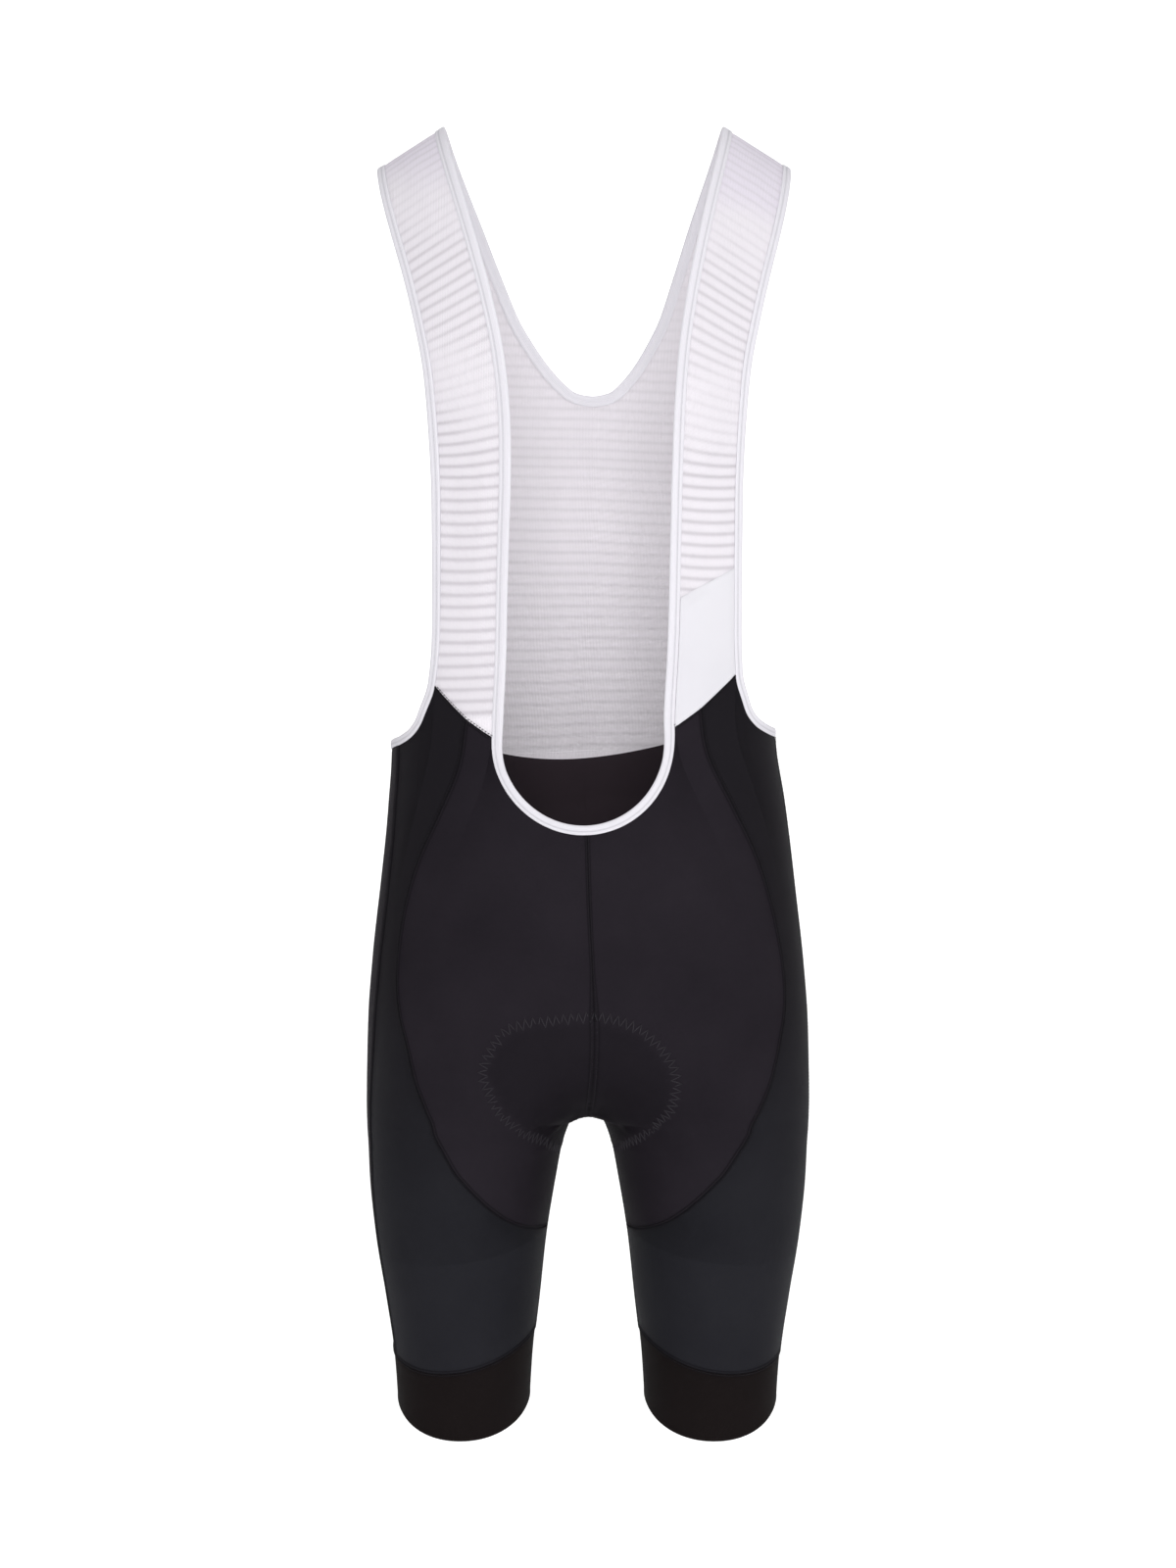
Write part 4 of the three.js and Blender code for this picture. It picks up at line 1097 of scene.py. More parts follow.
def knit_material(name, dark, light, roughness, pitch=(0.62, 0.5), depth=0.05, upper_shade=None):
    material, tree, shader = start_material(name)
    shader.inputs["Roughness"].default_value = roughness
    shader.inputs["Specular IOR Level"].default_value = 0.02
    knit = place_group(tree, knit_group, Column_pitch=pitch[0], Row_pitch=pitch[1])
    link(tree, cloth_coordinates(tree), knit.inputs["Cloth mm"])
    mottle = place_group(tree, mottle_group, Scale=16.0, Fine_share=0.35)
    link(tree, object_position(tree), mottle.inputs["Position"])
    seam = place_group(tree, seam_group, Band_mm=SHADE_HALF + SEAM["beside"], Width_mm=0.72)
    link(tree, attribute_value(tree, SEAM_MM), seam.inputs["Distance mm"])
    tone = mix_colours(tree, mottle.outputs["Factor"], dark, light)
    # Painted shade: higher up, the tone is mixed into a darker one, for the shaded sides of the hips.
    if upper_shade is not None:
        place = tree.nodes.new("ShaderNodeSeparateXYZ")
        link(tree, object_position(tree), place.inputs[0])
        raised = tree.nodes.new("ShaderNodeMapRange")
        raised.inputs["From Min"].default_value = -0.77
        raised.inputs["From Max"].default_value = -0.6
        raised.inputs["To Max"].default_value = 0.8
        link(tree, place.outputs["Z"], raised.inputs["Value"])
        tone = mix_colours(tree, raised.outputs["Result"], tone, upper_shade)
    # Painted shade: seam hollows and troughs, and the cloth inside the seat pad's outline, are mixed towards
    # the dark seam shade tone.
    shaded = math_node(tree, "MULTIPLY", attribute_value(tree, PAD_PRINT), PRINT_SHADE)
    tone = mix_colours(tree, shaded, tone, SEAM_SHADE_TONE)
    tone = mix_colours(tree, seam.outputs["Shade"], tone, SEAM_SHADE_TONE)
    # Painted light: inner faces take a lighter, warmer tone, for the inside of the garment, which lies in
    # shade.
    tone = mix_colours(tree, attribute_value(tree, INNER_SIDE), tone, INNER_PAINTED_LIGHT)
    link(tree, tone, shader.inputs["Base Color"])
    add_bump(tree, shader, knit.outputs["Height"], depth)
    return material


PRINT_SHADE = 0.42
# Painted light: tone of the cloth's inner faces, lighter than the outside, for the shaded inside of the
# garment.
INNER_PAINTED_LIGHT = (0.030, 0.0225, 0.0275)
# Painted shade colour for the seams and the pad area.
SEAM_SHADE_TONE = (0.0058, 0.0050, 0.0066)
lycra = knit_material("black_knit", (0.0101, 0.0084, 0.0113), (0.0184, 0.0153, 0.0199), 0.62)
thigh_tones = ((0.0098, 0.0098, 0.0126), (0.0178, 0.0178, 0.0216))
# The thigh panels take painted shade towards their top.
thigh_knit = knit_material("thigh_knit", *thigh_tones, 0.58, upper_shade=(0.0092, 0.0078, 0.0098))
band_tones = ((0.0062, 0.0047, 0.0048), (0.0094, 0.0071, 0.0072))
band_knit = knit_material("hem_band_knit", *band_tones, 0.68, (0.9, 0.45), 0.08)
print("knit materials:", lycra.name, thigh_knit.name, band_knit.name)

# %% [markdown]
# ## White mesh and elastic
# The mesh is knitted in bands: every eight millimetres or so a row lets light through and shows as a
# thin grey line. It is slightly sheer, so the line also opens in the alpha. The elastic is a dense,
# ribbed tape with one line of stitches along it. Both are white with a breath of violet.

# %% Mesh, elastic, thread and pad materials
STRIPE_PITCH = 8.2
STRIPE_TILT = 0.1
STRAP_STRIPES = [
    (-0.30, 0.7), (-0.235, 0.8), (-0.212, 0.28), (-0.175, 0.15), (-0.145, 0.6), (-0.10, 0.66), (-0.078, 0.25),
    (-0.05, 0.12), (-0.03, 0.32), (0.0, 0.28),
]
BACK_STRIPES = [(-0.44, 0.75), (-0.33, 0.55), (-0.24, 0.4), (-0.16, 0.3), (-0.10, 0.15), (0.0, 0.1)]


def mesh_material(name, whites, stripe_tone, strengths, crest_shade_tone, solidity):
    """Mesh in stripes. Each of the strengths pairs a height in metres with how clear they are there."""
    material, tree, shader = start_material(name)
    shader.inputs["Roughness"].default_value = 0.75
    shader.inputs["Specular IOR Level"].default_value = 0.25
    shader.inputs["Sheen Weight"].default_value = 0.08
    coordinates = cloth_coordinates(tree)
    split = tree.nodes.new("ShaderNodeSeparateXYZ")
    link(tree, coordinates, split.inputs[0])
    turns = math_node(tree, "DIVIDE", split.outputs["Y"], STRIPE_PITCH)
    beside = math_node(tree, "ABSOLUTE", math_node(tree, "SUBTRACT", math_node(tree, "FRACT", turns), 0.5))
    ratio = math_node(tree, "DIVIDE", beside, 0.19)
    line = bell_node(tree, ratio)
    mottle = place_group(tree, mottle_group, Scale=9.0, Fine_share=0.2)
    link(tree, object_position(tree), mottle.inputs["Position"])
    place = tree.nodes.new("ShaderNodeSeparateXYZ")
    link(tree, object_position(tree), place.inputs[0])
    drift = math_node(tree, "MULTIPLY", math_node(tree, "SUBTRACT", mottle.outputs["Factor"], 0.5), 0.09)
    tilt = math_node(tree, "MULTIPLY", place.outputs["X"], STRIPE_TILT)
    height = math_node(tree, "ADD", math_node(tree, "ADD", place.outputs["Z"], tilt), drift)
    low, high = strengths[0][0], strengths[-1][0]
    share = math_node(tree, "DIVIDE", math_node(tree, "SUBTRACT", height, low), high - low)
    clear = tree.nodes.new("ShaderNodeValToRGB")
    link(tree, share, clear.inputs["Fac"])
    for k, (z, strength) in enumerate(strengths):
        at = (z - low) / (high - low)
        stop = clear.color_ramp.elements[k] if k < 2 else clear.color_ramp.elements.new(at)
        stop.position = at
        stop.color = (strength, strength, strength, 1)
    stripe = math_node(tree, "MULTIPLY", line, clear.outputs["Color"])
    # Painted shade: above the shoulder line the white is mixed into a darker, more violet tone where the mesh
    # turns over the shoulder.
    crest = tree.nodes.new("ShaderNodeMapRange")
    crest.inputs["From Min"].default_value = -0.055
    crest.inputs["From Max"].default_value = -0.025
    link(tree, height, crest.inputs["Value"])
    knit = place_group(tree, knit_group, Column_pitch=1.1, Row_pitch=0.9, Row_share=1.0)
    link(tree, coordinates, knit.inputs["Cloth mm"])
    white = mix_colours(tree, mottle.outputs["Factor"], *whites)
    white = mix_colours(tree, crest.outputs["Result"], white, crest_shade_tone)
    link(tree, mix_colours(tree, stripe, white, stripe_tone), shader.inputs["Base Color"])
    alpha = math_node(tree, "SUBTRACT", solidity, math_node(tree, "MULTIPLY", stripe, 0.12))
    link(tree, alpha, shader.inputs["Alpha"])
    height = math_node(tree, "SUBTRACT", knit.outputs["Height"], math_node(tree, "MULTIPLY", stripe, 1.3))
    add_bump(tree, shader, height, 0.12)
    return material


def white_material(name, dark, light, pitch, depth, roughness=0.7, line_at=None):
    """White knit. With line_at it has a greyer line that far in along its first coordinate."""
    material, tree, shader = start_material(name)
    shader.inputs["Roughness"].default_value = roughness
    shader.inputs["Specular IOR Level"].default_value = 0.3
    knit = place_group(tree, knit_group, Column_pitch=pitch[0], Row_pitch=pitch[1], Row_share=0.6)
    link(tree, cloth_coordinates(tree), knit.inputs["Cloth mm"])
    mottle = place_group(tree, mottle_group, Scale=14.0, Fine_share=0.25)
    link(tree, object_position(tree), mottle.inputs["Position"])
    tone = mix_colours(tree, mottle.outputs["Factor"], dark, light)
    shade = math_node(tree, "MULTIPLY", knit.outputs["Height"], 0.12)
    if line_at is not None:
        split = tree.nodes.new("ShaderNodeSeparateXYZ")
        link(tree, cloth_coordinates(tree), split.inputs[0])
        ratio = math_node(tree, "DIVIDE", math_node(tree, "SUBTRACT", split.outputs["X"], line_at), 0.6)
        line = bell_node(tree, ratio)
        shade = math_node(tree, "ADD", shade, math_node(tree, "MULTIPLY", line, 0.8), clamp=True)
    darker = tuple(0.74 * value for value in dark)
    link(tree, mix_colours(tree, shade, tone, darker), shader.inputs["Base Color"])
    add_bump(tree, shader, knit.outputs["Height"], depth)
    return material


def thread_material(name, colour, roughness):
    material, tree, shader = start_material(name)
    shader.inputs["Roughness"].default_value = roughness
    shader.inputs["Specular IOR Level"].default_value = 0.1
    twist = tree.nodes.new("ShaderNodeTexNoise")
    twist.inputs["Scale"].default_value = 2500
    link(tree, object_position(tree), twist.inputs["Vector"])
    darker = tuple(0.6 * value for value in colour)
    link(tree, mix_colours(tree, twist.outputs["Fac"], darker, colour), shader.inputs["Base Color"])
    add_bump(tree, shader, twist.outputs["Fac"], 0.05)
    return material


strap_whites = ((0.77, 0.737, 0.785), (0.83, 0.797, 0.845))
# The crest tones are painted shade for the mesh turning over the shoulders.
strap_tone, strap_crest_shade = (0.59, 0.553, 0.6), (0.77, 0.725, 0.81)
striped_mesh = mesh_material("striped_mesh", strap_whites, strap_tone, STRAP_STRIPES, strap_crest_shade, 0.91)
# Painted light: the back uses the straps' mesh with lighter whites and stripe tone, for the inside of the
# back, which lies in shade.
back_whites_painted_light = ((0.80, 0.76, 0.81), (0.86, 0.82, 0.87))
back_tone, back_crest_shade = (0.62, 0.585, 0.63), (0.72, 0.69, 0.75)
back_mesh = mesh_material("back_mesh", back_whites_painted_light, back_tone, BACK_STRIPES, back_crest_shade, 0.8)
elastic_tones = ((0.635, 0.62, 0.665), (0.685, 0.67, 0.715))
elastic = white_material("folded_elastic", *elastic_tones, (1.2, 0.7), 0.08, line_at=3.2)
patch_cloth = white_material("patch_cloth", (0.61, 0.60, 0.64), (0.66, 0.65, 0.685), (0.5, 0.5), 0.04)
black_thread = thread_material("black_thread", (0.0125, 0.0112, 0.0138), 0.6)
pad_thread = thread_material("pad_thread", (0.034, 0.031, 0.037), 0.6)
white_thread = thread_material("white_thread", (0.70, 0.69, 0.74), 0.55)
pad_cloth = knit_material("pad_microfibre", (0.012, 0.012, 0.016), (0.022, 0.022, 0.028), 0.85, (0.4, 0.4))
print("white materials:", striped_mesh.name, elastic.name, patch_cloth.name)

# %% [markdown]
# ## Sewing the black panels
# Every panel is cut from its grid, given the relief of its four sides and its creases, and turned
# into a shell. The right half is the left half mirrored, with its own side seam and its own creases.
# Each piece says which solid it stands for, and that solid is hidden.

# %% Black panels and hem bands
def centre_half(z):
    """Half width of the centre front seam: one fine line on the belly, a wide band over the pad."""
    return np.interp(-z, (600, 632), (1.25, 2.6))


CF_SEAM = flatlock(centre_half(front_grid["place"][:, :1, 1]))
BACK_SEAM = flatlock(2.0)
CURVED_SEAM = flatlock(1.7)
SIDE_SEAM = flatlock(1.9)
WAIST = flatlock(2.1)
BAND_SEAM = flatlock(1.5)
NECK_COLUMN = len(neck_steps) - 1
STRAP_COLUMN = len(outer_steps) - 1
UNDERARM_COLUMN = len(underarm_back_steps) - 1


def cloth_uv(grid):
    sides = edge_distances(grid)
    return np.stack([sides["left"], sides["top"]], -1)


def cut(grid, sides, hand, wall=WALL, lift=0, uv=None, ring=False, open_left=0):
    """One cut piece as a shell, with seams, the print of the seat pad and creases."""
    relief, seam = sewn_relief(grid, sides)
    print_height, inside = pad_print(grid, hand)
    fold = crease_relief(grid["p"], hand) + lift
    uv = cloth_uv(grid) if uv is None else uv
    height = relief + print_height
    turned = hand == "right"
    part = shell(grid["p"], grid["n"], height, fold, wall, uv, seam, open_left, ring, turned)
    part[PAD_PRINT] = np.concatenate([inside.ravel()] * 2)
    return part


def keep(name, part, material, node=None):
    piece = object_from(f"{name}_cloth", part, material, node or name)
    return piece


sides_of = {
    "front_panel": {"left": CF_SEAM, "right": CURVED_SEAM, "top": split(bound, CURVED_SEAM, NECK_COLUMN)},
    "side_panel": {
        "left": CURVED_SEAM,
        "right": SIDE_SEAM,
        "top": split(CURVED_SEAM, bound, STRAP_COLUMN),
        "bottom": BAND_SEAM,
    },
    "back_panel": {
        "left": SIDE_SEAM,
        "right": BACK_SEAM,
        "top": split(bound, WAIST, UNDERARM_COLUMN),
        "bottom": BAND_SEAM,
    },
    "gripper": {"top": BAND_SEAM, "bottom": rolled},
}
side_grids = {}
for hand, side_turn in SIDE_SEAM_TURN.items():
    grids = {
        "front_panel": front_grid,
        "side_panel": side_panel(side_turn),
        "back_panel": back_panel(side_turn),
        "gripper": hem_band(),
    }
    side_grids[hand] = grids
    cloths = {"front_panel": lycra, "side_panel": thigh_knit, "back_panel": lycra, "gripper": band_knit}
    for name, grid in grids.items():
        part = cut(grid, sides_of[name], hand, ring=name == "gripper")
        piece = keep(f"{name}_{hand}", part, cloths[name])
        print(piece.name, len(piece.data.polygons), "faces")

# %% [markdown]
# ## White mesh
# The straps and the back are one striped mesh. Its own coordinates run along the stripes, so the
# second one is the height on the cloth: level on the back, tilted along the shoulders, where the
# cloth was cut at an angle, and sagging a little in the middle of a strap.

# %% Straps, mesh back and patch
STRIPE_SAG = 1.3
STRIPE_LEAN = 0.75
BACK_TILT = {"left": 0.07, "right": -0.01}


def cloth_length(grid, marks, at):
    """Real length along the middle of the cloth, up to where its marks reach each value."""
    column = grid["p"].shape[1] // 2
    steps = np.linalg.norm(np.diff(grid["p"][:, column], axis=0), axis=1)
    length = np.concatenate([[0], np.cumsum(steps)])
    marks = marks[:, column]
    order = np.argsort(marks)
    return np.interp(at, marks[order], length[order])


def strap_lean(run):
    return STRIPE_LEAN * (neck_x(run + 5) + arm_x(run + 5) - neck_x(run - 5) - arm_x(run - 5)) / 20


def strap_uv(grid):
    x, run = grid["place"][..., 0], grid["place"][..., 1]
    middle = (neck_x(run) + arm_x(run)) / 2
    half = (arm_x(run) - neck_x(run)) / 2
    sag = STRIPE_SAG * (1 - ((x - middle) / half) ** 2) * bell(run, -340, 90)
    across = run + (x - middle) * strap_lean(run) + sag
    return np.stack([x, cloth_length(grid, grid["place"][..., 1], across)], -1)


def back_uv(grid, hand):
    x, run = grid["place"][..., 0], grid["place"][..., 1]
    middle = (neck_x(run) + arm_x(run)) / 2
    near_strap = np.clip((190 - run) / 60, 0, 1)
    leaning = cloth_length(grid, grid["place"][..., 1], run + (x - middle) * strap_lean(run))
    height = grid["p"][..., 2] + BACK_TILT[hand] * x + STRIPE_SAG * (1 - (x / 110) ** 2)
    level = cloth_length(grid, grid["p"][..., 2], height)
    return np.stack([x, near_strap * leaning + (1 - near_strap) * level], -1)


strap_sides = {"left": bound, "right": bound, "top": CURVED_SEAM, "bottom": WAIST}
for hand in SIDE_SEAM_TURN:
    part = cut(strap_grid, strap_sides, hand, MESH_WALL, uv=strap_uv(strap_grid))
    keep(f"strap_{hand}", part, striped_mesh)


CENTRE_ROWS = len(centre_steps) - 1
on_neck = np.clip((np.arange(len(back_down)) - CENTRE_ROWS) / 6, 0, 1)[:, None]


def bound_neck(distance):
    height, away = bound(distance)
    return height * on_neck, away


back_sides = {"left": bound_neck, "right": bound, "top": WAIST, "bottom": WAIST}
halves = [
    cut(back_grid, back_sides, hand, MESH_WALL, uv=back_uv(back_grid, hand), open_left=CENTRE_ROWS)
    for hand in ("left", "right")
]
keep("mesh_back", merge_shells(*halves), back_mesh)
patch_sides = {"left": rolled, "right": rolled, "top": rolled, "bottom": rolled}
part = cut(patch(), patch_sides, "left", PATCH["wall"], PATCH["lift"])
keep("strap_patch", part, patch_cloth)

# %% [markdown]
# ## Folded elastic
# The openings are edged with elastic folded over the cut edge. Its section is a narrow U whose legs
# hold the cloth. The section is swept along the real edge of the cloth pieces, turning with them,
# with a shallow line where the stitches pull it down.

# %% Bindings
FOLD_PATH_STEP = 2.5
TENSION = ((-455, -420), (0.84, 1.0))
NECK_FOLD = {"width": 7.7, "line": 2.7, "under": -2.05}
ARM_FOLD = {"width": 6.5, "line": 2.4, "under": -2.05}


def edge_path(grid, which, start=None, end=None):
    """Cut edge of a grid: points, normals and the way into the cloth."""
    part = slice(start, end)
    lines = {
        "top": (grid["p"][0, part], grid["p"][1, part], grid["n"][0, part]),
        "left": (grid["p"][part, 0], grid["p"][part, 1], grid["n"][part, 0]),
        "right": (grid["p"][part, -1], grid["p"][part, -2], grid["n"][part, -1]),
        "bottom": (grid["p"][-1, part], grid["p"][-2, part], grid["n"][-1, part]),
    }
    edge, inside, normal = lines[which]
    return np.concatenate([edge, normal, unit(inside - edge)], -1)


def mirrored_path(path):
    return path * np.array([-1, 1, 1] * 3)


def even_loop(path):
    """A closed path at even steps, its directions smoothed round the corners."""
    closed = np.vstack([path, path[:1]])
    length = np.concatenate([[0], np.cumsum(np.linalg.norm(np.diff(closed[:, :3], axis=0), axis=1))])
    count = int(length[-1] / FOLD_PATH_STEP)
    at = np.arange(count) * length[-1] / count
    loop = np.stack([np.interp(at, length, closed[:, k]) for k in range(9)], -1)
    for _ in range(2):
        loop[:, 3:] = (np.roll(loop[:, 3:], 1, 0) + 2 * loop[:, 3:] + np.roll(loop[:, 3:], -1, 0)) / 4
        loop[:, :3] = (np.roll(loop[:, :3], 1, 0) + 6 * loop[:, :3] + np.roll(loop[:, :3], -1, 0)) / 8
    return loop, length[-1]


def fold_frame(loop):
    """Points, the way off the cloth and the way out, at right angles along a loop."""
    points, normals, inside = loop[:, :3], unit(loop[:, 3:6]), loop[:, 6:]
    run = unit(np.roll(points, -1, 0) - np.roll(points, 1, 0))
    away = np.cross(run, normals)
    away *= -np.sign((away * inside).sum(axis=1, keepdims=True))
    return points, unit(away), normals


def fold_section(width, line, under):
    """The U as (off, up) pairs: outside of the fold from front to back, then its inside."""
    outside = [
        (-0.4, 0.08), (-0.1, 0.45), (0.7, 0.62), (line - 1.1, 0.72), (line, 0.42), (line + 1.1, 0.74),
        (width - 1.6, 0.74), (width - 0.6, 0.5), (width, -0.1), (width + 0.1, -0.75), (width, -1.4),
        (width - 0.6, under + 0.1), (width - 1.6, under - 0.14), (line + 1.1, under - 0.14),
        (line, under + 0.18), (line - 1.1, under - 0.12), (0.7, under - 0.08), (-0.1, under + 0.1),
        (-0.4, under + 0.45),
    ]
    inside = [
        (-0.3, under + 0.6), (0.5, under + 0.62), (line, under + 0.66), (width - 1.6, under + 0.66),
        (width - 0.75, -1.15), (width - 0.7, -0.6), (width - 1.6, -0.12), (line, -0.16), (0.5, -0.14),
        (-0.3, -0.25),
    ]
    return np.array(outside + inside)


def sweep_fold(name, path, fold):
    loop, length = even_loop(path)
    points, away, normals = fold_frame(loop)
    ring = fold_section(**fold)
    fall = crease_relief(points, "left") if points[:, 0].mean() > 5 else 0 * points[:, 0]
    raised = points + normals * fall[:, None]
    narrow = np.interp(points[:, 2], *TENSION)[:, None, None]
    grid = raised[:, None] + narrow * away[:, None] * ring[None, :, :1] + normals[:, None] * ring[None, :, 1:]
    grid = np.vstack([grid, grid[:1]])
    grid = np.concatenate([grid, grid[:, :1]], axis=1)
    rows, columns = grid.shape[:2]
    index = np.arange(rows * columns).reshape(rows, columns)
    corners = (index[:-1, :-1], index[:-1, 1:], index[1:, 1:], index[1:, :-1])
    faces = np.stack([corner.ravel() for corner in corners], -1)
    around = np.vstack([ring, ring[:1]])
    around = np.concatenate([[0], np.cumsum(np.linalg.norm(np.diff(around, axis=0), axis=1))])
    run = np.linspace(0, length, rows)
    uv = np.stack(np.broadcast_arrays(around[None], run[:, None]), -1).reshape(-1, 2)
    part = {"v": hang(grid.reshape(-1, 3)), "f": faces, "uv": uv}
    return keep(name, part, elastic), loop


def neck_path():
    half = np.vstack([
        edge_path(front_grid, "top", 0, NECK_COLUMN + 1),
        edge_path(strap_grid, "left", 1),
        edge_path(back_grid, "left", CENTRE_ROWS, -1)[::-1],
    ])
    return np.vstack([half, mirrored_path(half[1:-1])[::-1]])


def arm_path(hand):
    grids = side_grids[hand]
    path = np.vstack([
        edge_path(grids["side_panel"], "top", STRAP_COLUMN),
        edge_path(grids["back_panel"], "top", 1, UNDERARM_COLUMN + 1),
        edge_path(back_grid, "right", 1),
        edge_path(strap_grid, "right", 1, -1)[::-1],
    ])
    return path if hand == "left" else mirrored_path(path)


folds = {"binding_neck": (neck_path(), NECK_FOLD)}
for hand in SIDE_SEAM_TURN:
    folds[f"binding_arm_{hand}"] = (arm_path(hand), ARM_FOLD)
loops = {}
for name, (path, fold) in folds.items():
    piece, loops[name] = sweep_fold(name, path, fold)
    print(piece.name, len(piece.data.polygons), "faces")

# %% [markdown]
# ## Seat pad
# The insert is moulded foam under brushed cloth: thickest down the middle, thin at its edge, with
# pressed channels that let it bend. It is sewn to the inside of the panels, so only its outline
# shows from the front. Foam keeps its moulded form, so it is modelled as such.

# %% Seat pad
PAD_CHANNELS = {"along": [0.34, 0.7], "across": [0.3, 0.72], "depth": 1.3}


def make_pad():
    u = np.linspace(0, 1, 41)
    down = np.linspace(0, 1, len(pad_middle))
    ends = [np.repeat(pad_middle[[k]], len(u), axis=0) for k in (0, -1)]
    grid = on_centre(span(pad_middle, pad_edge, ends[0], ends[1], body, u, down), 0, len(down))
    down = down[:, None]
    rise = (1 - u**2) * (1 - (2 * down - 1) ** 4)
    wall = PAD["edge"] + (PAD["thick"] - PAD["edge"]) * rise
    depth = sum(bell(u, at, 0.035) for at in PAD_CHANNELS["along"])
    depth = depth + sum(bell(down, at, 0.014) for at in PAD_CHANNELS["across"]) * (u < 0.7)
    wall = wall - PAD_CHANNELS["depth"] * depth * rise ** 0.5
    flat = np.zeros(wall.shape)
    outer = grid["p"] - grid["n"] * (WALL + PAD["clear"])
    halves = [
        shell(outer, grid["n"], flat, flat, wall, cloth_uv(grid), flat + FAR, len(down) - 1, False, mirror)
        for mirror in (False, True)
    ]
    return merge_shells(*halves)


pad = keep("seat_pad", make_pad(), pad_cloth)
print(pad.name, len(pad.data.polygons), "faces")

# %% [markdown]
# ## Threads
# A flat seam is sewn with two rows of needle stitches and a thread that zigzags between them over the
# cut edges. The threads are real geometry here: every stitch is a short spindle that dips into the
# cloth at both ends. They follow the same edges and creases as the panels, so they never float.

# %% Seam threads
STITCH = {"pitch": 2.6, "length": 2.2, "radius": 0.19, "sides": 5}
COVER = {"pitch": 2.6, "radius": 0.11, "sides": 4}


def resample(points, normals, step):
    """A line's points and normals at even steps."""
    length = np.concatenate([[0], np.cumsum(np.linalg.norm(np.diff(points, axis=0), axis=1))])
    at = np.linspace(0, length[-1], max(2, int(length[-1] / step) + 1))
    both = np.concatenate([points, normals], -1)
    line = np.stack([np.interp(at, length, both[:, k]) for k in range(6)], -1)
    return line[:, :3], unit(line[:, 3:])


def tubes(lines, normals, radius, sides):
    """Round threads along many lines at once. Each thread narrows to a point at both ends."""
    count, steps = lines.shape[:2]
    along_line = unit(np.gradient(lines, axis=1))
    across = unit(np.cross(along_line, normals))
    up = np.cross(across, along_line)
    width = np.full(steps, radius)
    width[[0, -1]] = 0.02
    angle = np.arange(sides) * 2 * math.pi / sides
    ring = across[..., None, :] * np.cos(angle)[:, None] + up[..., None, :] * np.sin(angle)[:, None]
    vertices = lines[:, :, None] + ring * width[None, :, None, None]
    index = np.arange(count * steps * sides).reshape(count, steps, sides)
    turned = np.roll(index, -1, axis=2)
    corners = (index[:, :-1], turned[:, :-1], turned[:, 1:], index[:, 1:])
    faces = np.stack([corner.ravel() for corner in corners], -1)
    return {"v": vertices.reshape(-1, 3), "f": faces}


def merge_threads(parts):
    first = np.cumsum([0] + [len(part["v"]) for part in parts])
    return {
        "v": np.concatenate([part["v"] for part in parts]),
        "f": np.concatenate([part["f"] + start for part, start in zip(parts, first)]),
    }


def seam_threads(points, normals, half, hand, height=0.42):
    """Two rows of stitches beside a seam and the cover thread between them."""
    points, normals = resample(points, normals, STITCH["pitch"] / 4)
    wide = np.broadcast_to(half(points[:, 2]) if callable(half) else half, len(points))[:, None]
    points = points + normals * crease_relief(points, hand)[:, None]
    across = unit(np.cross(np.gradient(points, axis=0), normals))
    parts = []
    whole = (len(points) - 1) // 4
    for side in (-1, 1):
        base = points + across * side * (wide - 0.45)
        starts = np.arange(whole) * 4
        share = np.array([0, 0.12, 0.5, 0.88, 1]) * STITCH["length"] / STITCH["pitch"] * 4
        lift = height + np.array([-0.2, 0.12, 0.16, 0.12, -0.2])
        at = starts[:, None] + share
        low = np.floor(at).astype(int)
        mix = (at - low)[..., None]
        high = np.minimum(low + 1, len(points) - 1)
        line = base[low] * (1 - mix) + base[high] * mix
        up = normals[low]
        parts.append(tubes(line + up * lift[None, :, None], up, STITCH["radius"], STITCH["sides"]))
    turn_points = np.arange(0, len(points), 2)
    swing = np.where(np.arange(len(turn_points)) % 2 == 0, 1, -1)[:, None] * (wide[turn_points] - 0.5)
    line = points[turn_points] + across[turn_points] * swing + normals[turn_points] * (height + 0.05)
    middle = (line[1:] + line[:-1]) / 2 - normals[turn_points][1:] * 0.12
    zigzag = np.empty((len(line) * 2 - 1, 3))
    zigzag[0::2], zigzag[1::2] = line, middle
    up = np.repeat(normals[turn_points], 2, axis=0)[:-1]
    parts.append(tubes(zigzag[None], up[None], COVER["radius"], COVER["sides"]))
    merged = merge_threads(parts)
    if hand == "right":
        merged = {"v": merged["v"] * [-1, 1, 1], "f": merged["f"][:, ::-1]}
    merged["v"] = hang(merged["v"])
    return merged


def edge_line(grid, which, start=None, end=None):
    path = edge_path(grid, which, start, end)
    return path[:, :3], path[:, 3:6]


CROTCH_ROW = len(crotch_steps)
black, white = [], []
for hand, grids in side_grids.items():
    front, side, back = grids["front_panel"], grids["side_panel"], grids["back_panel"]
    rows = {
        "curved": (edge_line(front, "right"), 1.7),
        "side": (edge_line(side, "right"), 1.9),
        "inseam": (edge_line(front, "left", CROTCH_ROW - 1), 1.7),
        "low_inseam": (edge_line(side, "left", len(front["p"]) - 1), 1.7),
        "strap": (edge_line(front, "top", NECK_COLUMN), 1.7),
        "strap_outer": (edge_line(side, "top", 0, STRAP_COLUMN + 1), 1.7),
        "band": (edge_line(grids["gripper"], "top"), 1.5),
    }
    if hand == "left":
        rows["front"] = (edge_line(front, "left", 0, CROTCH_ROW), centre_half)
        rows["back"] = (edge_line(back, "right", 0, CROTCH_ROW), 2.0)
    for (points, normals), half in rows.values():
        black.append(seam_threads(points, normals, half, hand))
    for points, normals in (edge_line(strap_grid, "bottom"), edge_line(back_grid, "top")):
        white.append(seam_threads(points, normals, 2.1, hand))


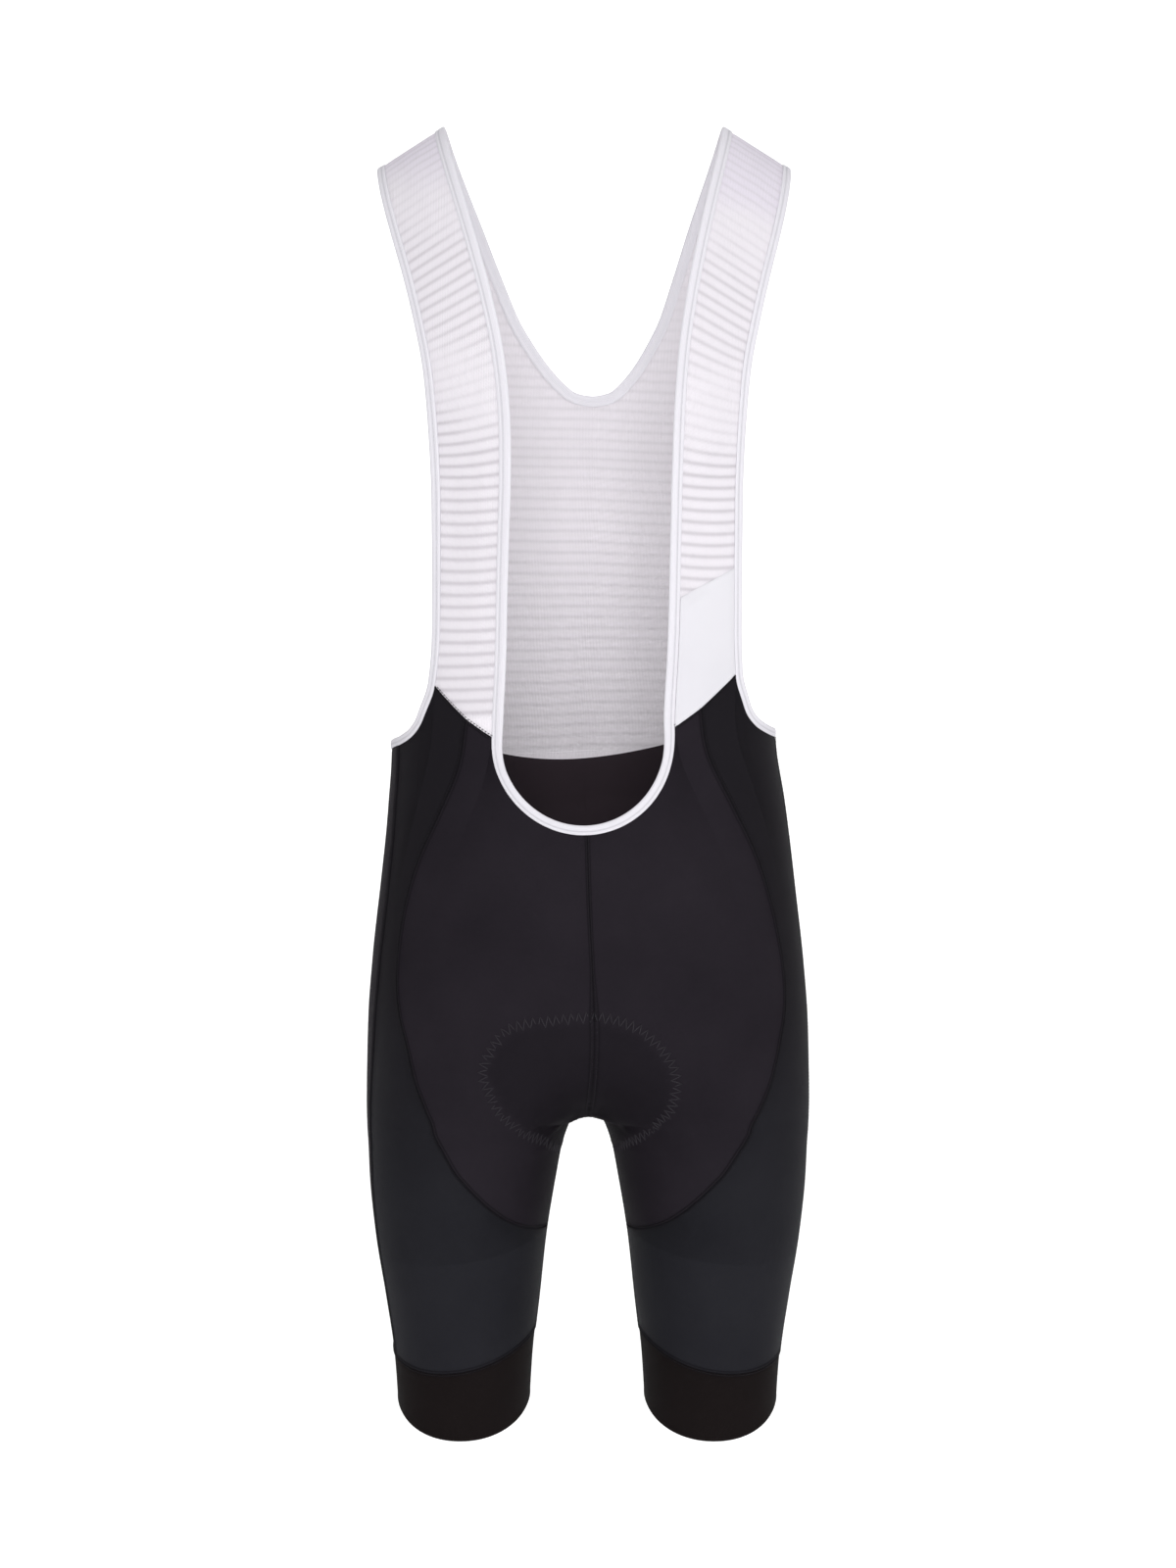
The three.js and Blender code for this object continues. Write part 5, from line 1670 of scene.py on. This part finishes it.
def sew_threads(name, parts, material):
    part = merge_threads(parts)
    piece = object_from(name, part, material, weld=0.03)
    print(name, len(piece.data.polygons), "faces")
    return piece


threads = {"seam_threads": sew_threads("seam_threads", black, black_thread)}
threads["mesh_threads"] = sew_threads("mesh_threads", white, white_thread)

# %% [markdown]
# ## Pad zigzag and binding stitches
# The pad is held by a wide zigzag that can stretch, and each binding by one row of straight stitches
# in the groove along its inner side.

# %% Zigzag and binding stitches
ZIGZAG = {"pitch": 5.4, "swing": 4.0, "radius": 0.33, "sides": 6, "lift": 0.05}
FOLD_STITCH = {"pitch": 3.0, "length": 2.5, "radius": 0.2, "sides": 5}


def pad_zigzag(hand):
    points, normals = resample(printed[hand]["p"], printed[hand]["n"], ZIGZAG["pitch"] / 8)
    points = points + normals * (crease_relief(points, hand) + ZIGZAG["lift"])[:, None]
    across = unit(np.cross(np.gradient(points, axis=0), normals))
    phase = np.arange(len(points)) / 8
    wave = 4 * np.abs(phase - np.floor(phase + 0.5)) - 1
    line = points + across * (ZIGZAG["swing"] * wave)[:, None]
    part = tubes(line[None], normals[None], ZIGZAG["radius"], ZIGZAG["sides"])
    if hand == "right":
        part = {"v": part["v"] * [-1, 1, 1], "f": part["f"][:, ::-1]}
    part["v"] = hang(part["v"])
    return part


def fold_stitches(loop, line):
    points, away, normals = fold_frame(loop)
    fall = crease_relief(points, "left") if points[:, 0].mean() > 5 else 0 * points[:, 0]
    narrow = np.interp(points[:, 2], *TENSION)[:, None]
    base = points + away * line * narrow + normals * (fall + 0.46)[:, None]
    closed = np.vstack([base, base[:1]])
    base, up = resample(closed, np.vstack([normals, normals[:1]]), FOLD_STITCH["pitch"] / 4)
    starts = np.arange((len(base) - 1) // 4) * 4
    at = np.minimum(starts[:, None] + np.arange(4), len(base) - 1)
    lift = np.array([-0.12, 0.14, 0.14, -0.12])
    stitched = base[at] + up[at] * lift[None, :, None]
    part = tubes(stitched, up[at], FOLD_STITCH["radius"], FOLD_STITCH["sides"])
    part["v"] = hang(part["v"])
    return part


zigzags = [pad_zigzag(hand) for hand in SIDE_SEAM_TURN]
threads["pad_zigzag"] = sew_threads("pad_zigzag", zigzags, pad_thread)
rows = [fold_stitches(loops[name], fold["line"]) for name, (_, fold) in folds.items()]
threads["binding_stitches"] = sew_threads("binding_stitches", rows, white_thread)
